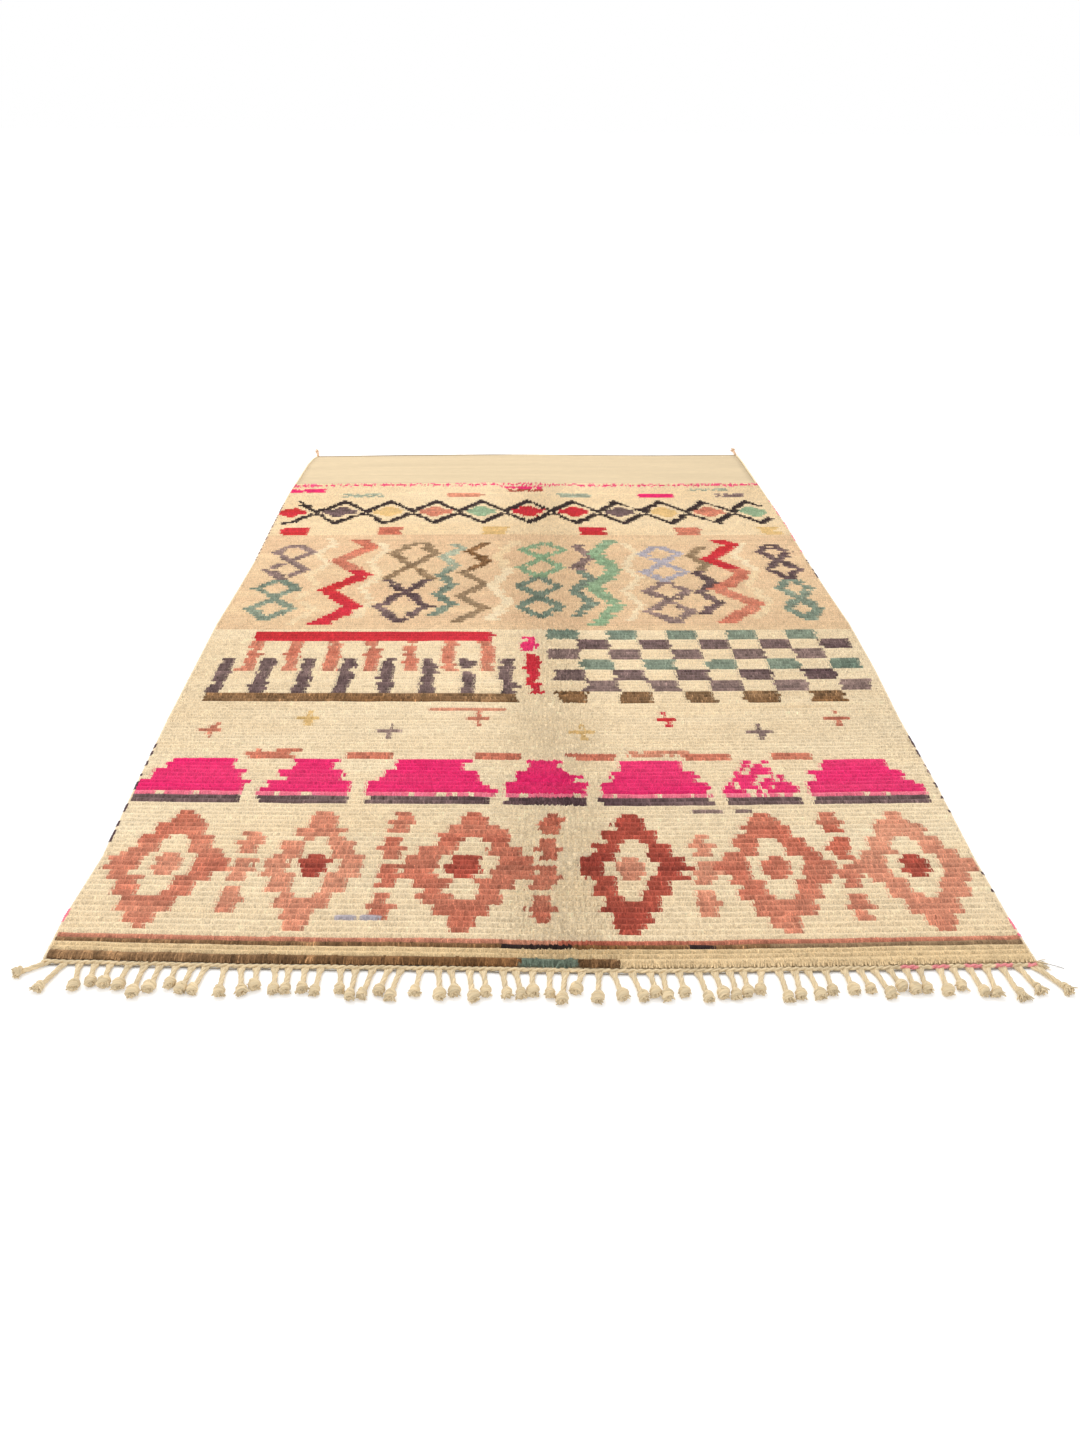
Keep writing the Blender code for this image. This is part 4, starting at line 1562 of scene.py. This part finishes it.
def tassel_cords(lay, fringe, colour, rng, start=CORD_START):
    """Each tassel's cord: plies wound round each other, into the knot."""
    shares = np.linspace(start, CORD_END, CORD_STATIONS)
    centre, side, _ = tassel_frames(lay, shares)
    reach = np.array([tassel[3] for tassel in lay])[:, None] * shares[None]
    phase = rng.uniform(0, 2 * math.pi, (len(lay), 1))
    strands = []
    for ply in range(CORD_PLIES):
        turn = 2 * math.pi * (reach / fringe.ply_pitch + ply / CORD_PLIES)
        turn = (turn + phase)[..., None]
        turned = side * np.cos(turn) + CORD_FLATNESS * UP * np.sin(turn)
        offset = CORD_OFFSET * fringe.ply_radius * turned
        strands.append(centre + offset + UP * CORD_LIFT * fringe.ply_radius)
    paths = np.concatenate(strands)
    shade = np.array(colour) * rng.normal(1.0, 0.05, (len(paths), 1))
    radius = fringe.ply_radius * rng.uniform(0.92, 1.10, (len(paths), 1))
    return rest_on_floor(sweep(paths, radius, 6, colours=shade))


def last_ones(count, chosen, value):
    """A value for the last chosen of count tassels, and 1 for the others."""
    return np.where(np.arange(count) >= count - chosen, value, 1.0)[:, None, None]


def tassel_knots(lay, fringe, colour, rng, unknotted=0):
    """Each tassel's overhand knot: a coil round the cord, and a turn that crosses it."""
    centre, side, ahead = tassel_frames(lay, (KNOT_SHARE,))
    smaller = last_ones(len(lay), unknotted, OPEN_END_KNOT)
    size = rng.uniform(*KNOT_SIZES, (len(lay), 1, 1)) * smaller
    made = []
    for turns, stations, start, advance, inner, thick in KNOT_TURNS:
        run = np.linspace(0.0, 1.0, stations)[None, :, None]
        turn = 2 * math.pi * turns * run + start + rng.uniform(0, 1.5, (len(lay), 1, 1))
        turned = side * np.cos(turn) + UP * np.sin(turn) * KNOT_FLATNESS
        ring = fringe.knot_radius * inner * size * turned
        paths = centre + ring + ahead * advance * (2 * run - 1) + UP * fringe.knot_radius * KNOT_LIFT
        radius = (fringe.knot_radius * thick * size)[..., 0] * np.ones((1, stations))
        shade = np.array(colour) * rng.normal(1.0, 0.04, (len(lay), 1))
        made.append(rest_on_floor(sweep(paths, radius, 6, reference=ahead, colours=shade)))
    return made


def tassel_frays(lay, fringe, colour, rng, strands=FRAY_STRANDS, unknotted=0):
    """The loose ends past each knot, fanned out and drooping to the floor."""
    frames = tassel_frames(lay, (CORD_END,))
    centre, side, ahead = (np.repeat(part, strands, axis=0) for part in frames)
    count = len(lay) * strands
    run = np.linspace(0.0, 1.0, len(FRAY_RADII))[None, :, None]
    fan = rng.normal(0.0, FRAY_FAN, (count, 1, 1))
    longer = np.repeat(last_ones(len(lay), unknotted, OPEN_END_LENGTH), strands, axis=0)
    reach = fringe.fray_length * rng.uniform(*FRAY_LENGTHS, (count, 1, 1)) * longer
    fan = fan * np.where(longer > 1, 0.42, 1.0)
    bend = rng.normal(0.0, FRAY_BEND, (count, 1, 1))
    start_side = rng.uniform(-FRAY_HALF_SPREAD, FRAY_HALF_SPREAD, (count, 1, 1))
    sideways = np.sin(fan + bend * run * 0.6) * run * reach + start_side
    onward = np.cos(fan) * run * reach
    start_z = rng.uniform(*FRAY_HEIGHTS, (count, 1))
    end_z = start_z * rng.uniform(*FRAY_DROOPS, (count, 1)) + FRAY_END_LIFT
    height = start_z + (end_z - start_z) * run[..., 0] ** 1.4
    paths = centre + side * sideways + ahead * onward + UP * height[..., None]
    radius = np.array(FRAY_RADII)[None] * rng.uniform(0.8, 1.25, (count, 1))
    shade = np.array(colour) * rng.normal(1.0, 0.07, (count, 1))
    return rest_on_floor(sweep(paths, radius, 3, colours=np.clip(shade, 0, 1)))


def tassel_roots(lay, colour, rng):
    """Warp ends that leave the twining side by side and gather into each cord."""
    centre, side, _ = tassel_frames(lay, np.linspace(0.0, ROOT_SHARE, ROOT_STATIONS))
    gather = np.cos(np.linspace(0.0, 1.0, ROOT_STATIONS) * math.pi / 2)[None, :, None] ** 1.5
    along_x = np.array((1.0, 0.0, 0.0))
    made = []
    for offset in ROOT_STRANDS:
        paths = centre + along_x * offset * gather + side * offset * 0.22 * (1 - gather)
        paths[:, 0, 1] += 0.0040
        lift = np.linspace(0.0026, 0.0045, ROOT_STATIONS) + 0.0004 * math.copysign(1, offset)
        made.append(paths + UP * lift[None, :, None])
    paths = np.concatenate(made)
    shade = np.array(colour) * rng.normal(0.97, 0.05, (len(paths), 1))
    return rest_on_floor(sweep(paths, ROOT_RADIUS, 5, colours=shade))


def near_twining(yarns, fringe):
    """The twined strands across the near end, partly wound with pink."""
    left = NEAR_LINE[0, 0] - CLOTH_INSET + 0.002
    right = NEAR_LINE[-1, 0] + CLOTH_INSET - 0.002
    stations = int((right - left) / fringe.twining_pitch * TWINING_STATIONS)
    x = np.linspace(left, right, stations)

    def line(share):
        place = left + share * (right - left)
        y = strip_back_y(place) - TWINING_SET_BACK + 0.0005 * np.sin(61 * place)
        return np.stack([place, y, np.full(len(place), TWINING_LIFT)], axis=-1)

    rng = np.random.default_rng(61)
    shade = np.tile(np.array(yarns.warp) * 1.02, (2, stations, 1))
    shade = shade * (1 + 0.06 * soft_noise(rng, 2, stations, 1, 12))[..., None]
    wound = (x > PINK_TWINING[0]) & (x < PINK_TWINING[1]) & (np.sin(x * 108) > -0.10)
    shade[:, wound] = 0.7 * np.array(yarns.pink) + 0.2 * np.array(yarns.warp)
    radius, pitch = fringe.twining_radius, fringe.twining_pitch
    return twisted_pair(line, radius, pitch, stations, TWINING_SIDES, shade)


def header_wefts(yarns):
    """The thin weft yarns between the first pile row and the twining."""
    x = np.linspace(NEAR_LINE[0, 0], NEAR_LINE[-1, 0], HEADER_STATIONS)
    rng = np.random.default_rng(62)
    paths = []
    for number in range(HEADER_YARNS):
        y = strip_back_y(x) - 0.0008 - 0.0012 * number + 0.0003 * np.sin(90 * x + 2 * number)
        z = 0.0036 - 0.0007 * number + 0.0003 * np.sin(140 * x + number)
        paths.append(np.stack([x, y, z], axis=-1))
    uneven = 1 + 0.2 * soft_noise(rng, HEADER_YARNS, HEADER_STATIONS, 1, 20)
    grey = np.array(yarns.header) * uneven[..., None]
    pale = np.array(yarns.warp) * 0.9
    turn = np.clip((x + 0.15) / 0.3, 0, 1)[None, :, None]
    made = sweep(np.array(paths), HEADER_RADIUS, 5)
    shade = grey * (1 - turn) + pale * turn
    made.colours = np.broadcast_to(shade[:, :, None], made.rings.shape)
    return made


def under_thread_and_painted_shadow(yarns):
    """The dark thread under the strip's front edge, behind the tassels: partly a thread, partly painted
    shadow, darkened to the tone of the shade under the strip.
    """
    x = np.linspace(NEAR_LINE[0, 0], NEAR_LINE[-1, 0], THREAD_STATIONS)
    y = strip_back_y(x) - THREAD_SET_BACK + 0.0007 * np.sin(37 * x) + 0.0004 * np.sin(171 * x)
    path = np.stack([x, y, np.full(len(x), THREAD_LIFT)], axis=-1)
    made = sweep(path[None], THREAD_RADIUS, 5)
    # Painted shadow: the header yarn darkened well below its own colour
    grey = np.array(yarns.header) * (0.62 + 0.12 * np.sin(55 * x) * np.sin(23 * x))[:, None]
    made.colours = np.broadcast_to(grey[None, :, None], made.rings.shape)
    return rest_on_floor(made)


def corner_fray(yarns):
    """Warp ends that come loose at the right corner, and one thin yarn that sticks out."""
    rng = np.random.default_rng(63)
    last_x = NEAR_LINE[-1, 0]
    corner = np.array((last_x + 0.5 * CLOTH_INSET, strip_back_y(last_x) - 0.004, 0.0))
    run = np.linspace(0.0, 1.0, len(CORNER_FRAY_RADII))[None, :, None]
    each = (CORNER_FRAY_STRANDS, 1, 1)
    heading = rng.normal(-0.30, 0.40, each) + rng.normal(0, 0.3, (1, 1, 1)) * run
    reach = rng.uniform(0.012, 0.026, each) * run
    height = rng.uniform(0.003, 0.011, each) * (1 - 0.7 * run)
    paths = corner + np.concatenate([np.cos(heading) * reach, np.sin(heading) * reach, height], axis=2)
    radius = np.array(CORNER_FRAY_RADII)[None]
    shade = np.array(yarns.warp) * rng.normal(0.95, 0.08, (CORNER_FRAY_STRANDS, 1))
    tuft = rest_on_floor(sweep(paths, radius, 4, colours=shade))
    along = np.linspace(0.0, 1.0, 9)
    thread = np.stack([0.048 * along, 0.004 - 0.012 * along**2, 0.004 - 0.003 * along], axis=-1)
    dark = np.array(yarns.header) * 0.7
    yarn_end = rest_on_floor(sweep((corner + thread)[None], LOOSE_YARN_RADIUS, 4, colours=dark))
    return [tuft, yarn_end]


class RUG_OT_finish_near_end(RugMaker, bpy.types.Operator):
    """Twine the near end and knot its warp ends into tassels"""

    bl_idname = "rug.finish_near_end"
    bl_label = "Finish the Near End"

    def execute(self, context):
        yarns, _, fringe, _ = settings()
        lay = tassel_lay()
        rng = np.random.default_rng(71)
        wool = wool_material("warp_wool", 0.24, 0.0011, 0.12)
        strip = [near_twining(yarns, fringe), header_wefts(yarns), under_thread_and_painted_shadow(yarns)]
        strip += corner_fray(yarns)
        self.dress(mesh_of_lofts("near_twining", strip, wool), "near_fringe", "warp_wool")
        tassels = [tassel_roots(lay, yarns.warp, rng), tassel_cords(lay, fringe, yarns.warp, rng)]
        tassels += tassel_knots(lay, fringe, yarns.warp, rng, OPEN_ENDS)
        tassels.append(tassel_frays(lay, fringe, yarns.warp, rng, unknotted=OPEN_ENDS))
        self.dress(mesh_of_lofts("tassels", tassels, wool), "near_fringe", "warp_wool")
        return {"FINISHED"}


class RUG_OT_tie_corners(RugMaker, bpy.types.Operator):
    """Lay a knotted end of yarn behind each far corner"""

    bl_idname = "rug.tie_corners"
    bl_label = "Tie the Far Corners"

    def execute(self, context):
        yarns, _, fringe, _ = settings()
        wool = wool_material("tie_wool", 0.12, 0.0005, 0.12)
        rng = np.random.default_rng(81)
        inset = TIE_SET_IN - CLOTH_INSET
        corners = {"corner_tie_left": (FAR_LINE[0], inset), "corner_tie_right": (FAR_LINE[-1], -inset)}
        for node, (corner, shift) in corners.items():
            root = (corner[0] + shift, corner[1] + TIE_STAND_OFF)
            lay = [(root, TIE_LEANS[node], TIE_CURL, TIE_LENGTH)]
            shade = 0.35 * np.array(yarns.salmon) + 0.55 * np.array(yarns.warp)
            groups = [tassel_cords(lay, fringe, shade, rng, TIE_TUCKED_IN)]
            groups += tassel_knots(lay, fringe, shade, rng, 1)
            groups.append(tassel_frays(lay, fringe, shade, rng, TIE_FRAY_STRANDS, 1))
            self.dress(mesh_of_lofts(f"{node}_yarn", groups, wool), node, "tie_wool")
        return {"FINISHED"}


class RUG_OT_declare_cloth(RugMaker, bpy.types.Operator):
    bl_idname = "rug.declare_cloth"
    bl_label = "Declare the Cloth"

    def execute(self, context):
        carried = [f"pile_rows_{number}" for number in range(1, PILE_PIECES + 1)]
        carried += ["overcast_left", "overcast_right", "far_edging", "near_twining", "tassels"]
        carried += ["corner_tie_left_yarn", "corner_tie_right_yarn"]
        return {"FINISHED"}


# The stage

FLOOR_SIZE = 60.0
FLOOR_DROP = 0.0004
SENSOR_WIDTH = 36.0
KEY_PLACE = (-1.6, 2.4, 4.6)
KEY_SIZE = 3.2


def stand_camera(stage):
    """The camera where the photograph was taken from."""
    yaw, pitch, roll = stage.camera_turn
    level = math.cos(pitch)
    ahead = Vector((math.sin(yaw) * level, math.cos(yaw) * level, -math.sin(pitch)))
    right = Vector((math.cos(yaw), -math.sin(yaw), 0.0))
    up = right.cross(ahead)
    tilted_right = right * math.cos(roll) + up * math.sin(roll)
    tilted_up = tilted_right.cross(ahead)
    data = bpy.data.cameras.new("camera")
    data.sensor_width = SENSOR_WIDTH
    data.lens = stage.lens
    data.clip_end = 200.0
    camera = bpy.data.objects.new("camera", data)
    turn = Matrix((tilted_right, tilted_up, -ahead)).transposed().to_4x4()
    camera.matrix_world = Matrix.Translation(stage.camera_place) @ turn
    bpy.context.scene.collection.objects.link(camera)
    bpy.context.scene.camera = camera


def lay_floor(stage):
    """A white floor that reaches past the picture."""
    mesh = bpy.data.meshes.new("floor")
    half = FLOOR_SIZE / 2
    corners = [(x * half, y * half, -FLOOR_DROP) for x, y in ((-1, -1), (1, -1), (1, 1), (-1, 1))]
    mesh.from_pydata(corners, [], [(0, 1, 2, 3)])
    floor = bpy.data.objects.new("floor", mesh)
    paint = bpy.data.materials.new("floor_paint")
    paint.use_nodes = True
    shader = paint.node_tree.nodes["Principled BSDF"]
    shader.inputs["Base Color"].default_value = (*stage.floor_colour, 1.0)
    shader.inputs["Roughness"].default_value = 0.9
    shader.inputs["Emission Color"].default_value = (1.0, 1.0, 1.0, 1.0)
    shader.inputs["Emission Strength"].default_value = stage.floor_glow
    mesh.materials.append(paint)
    bpy.context.scene.collection.objects.link(floor)


def light_stage(stage):
    """An even white sky and one large soft lamp behind and above the rug."""
    world = bpy.data.worlds.new("studio")
    world.use_nodes = True
    sky = world.node_tree.nodes["Background"]
    sky.inputs["Color"].default_value = (1.0, 1.0, 1.0, 1.0)
    sky.inputs["Strength"].default_value = stage.sky_strength
    bpy.context.scene.world = world
    data = bpy.data.lights.new("key", "AREA")
    data.shape = "DISK"
    data.size = KEY_SIZE
    data.energy = stage.key_power
    key = bpy.data.objects.new("key", data)
    key.location = KEY_PLACE
    key.rotation_euler = (-Vector(KEY_PLACE)).to_track_quat("-Z", "Y").to_euler()
    bpy.context.scene.collection.objects.link(key)
    bpy.context.scene.view_settings.view_transform = "Standard"


class RUG_OT_set_stage(bpy.types.Operator):
    """Lay the floor, hang the lights and stand the camera"""

    bl_idname = "rug.set_stage"
    bl_label = "Set the Stage"

    def execute(self, context):
        _, _, _, stage = settings()
        lay_floor(stage)
        light_stage(stage)
        stand_camera(stage)
        return {"FINISHED"}


STEPS = (
    RUG_OT_set_stage,
    RUG_OT_weave_ground,
    RUG_OT_knot_pile,
    RUG_OT_bind_sides,
    RUG_OT_edge_far_end,
    RUG_OT_finish_near_end,
    RUG_OT_tie_corners,
    RUG_OT_declare_cloth,
)
GROUPS = (RugYarnSettings, RugPileSettings, RugFringeSettings, RugStageSettings)
GROUP_NAMES = ("rug_yarn", "rug_pile", "rug_fringe", "rug_stage")


class RUG_PT_rug(bpy.types.Panel):
    """The rug's steps and settings."""

    bl_label = "Moroccan Rug"
    bl_space_type = "VIEW_3D"
    bl_region_type = "UI"
    bl_category = "Rug"

    def draw(self, context):
        layout = self.layout
        for step in STEPS:
            layout.operator(step.bl_idname)
        for name in GROUP_NAMES:
            box = layout.box()
            group = getattr(context.scene, name)
            for prop in group.__annotations__:
                box.prop(group, prop)


CLASSES = (*GROUPS, *STEPS, RUG_PT_rug)


def register():
    """Registers the classes and hangs the settings on the scene."""
    for made in CLASSES:
        bpy.utils.register_class(made)
    for name, group in zip(GROUP_NAMES, GROUPS):
        setattr(bpy.types.Scene, name, bpy.props.PointerProperty(type=group))


def unregister():
    """Takes the settings and the classes away again."""
    for name in GROUP_NAMES:
        delattr(bpy.types.Scene, name)
    for made in reversed(CLASSES):
        bpy.utils.unregister_class(made)


def main():
    """Registers the add-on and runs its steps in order."""
    register()
    bpy.ops.rug.set_stage()
    bpy.ops.rug.weave_ground()
    bpy.ops.rug.knot_pile()
    bpy.ops.rug.bind_sides()
    bpy.ops.rug.edge_far_end()
    bpy.ops.rug.finish_near_end()
    bpy.ops.rug.tie_corners()
    bpy.ops.rug.declare_cloth()


if __name__ == "__main__":
    main()
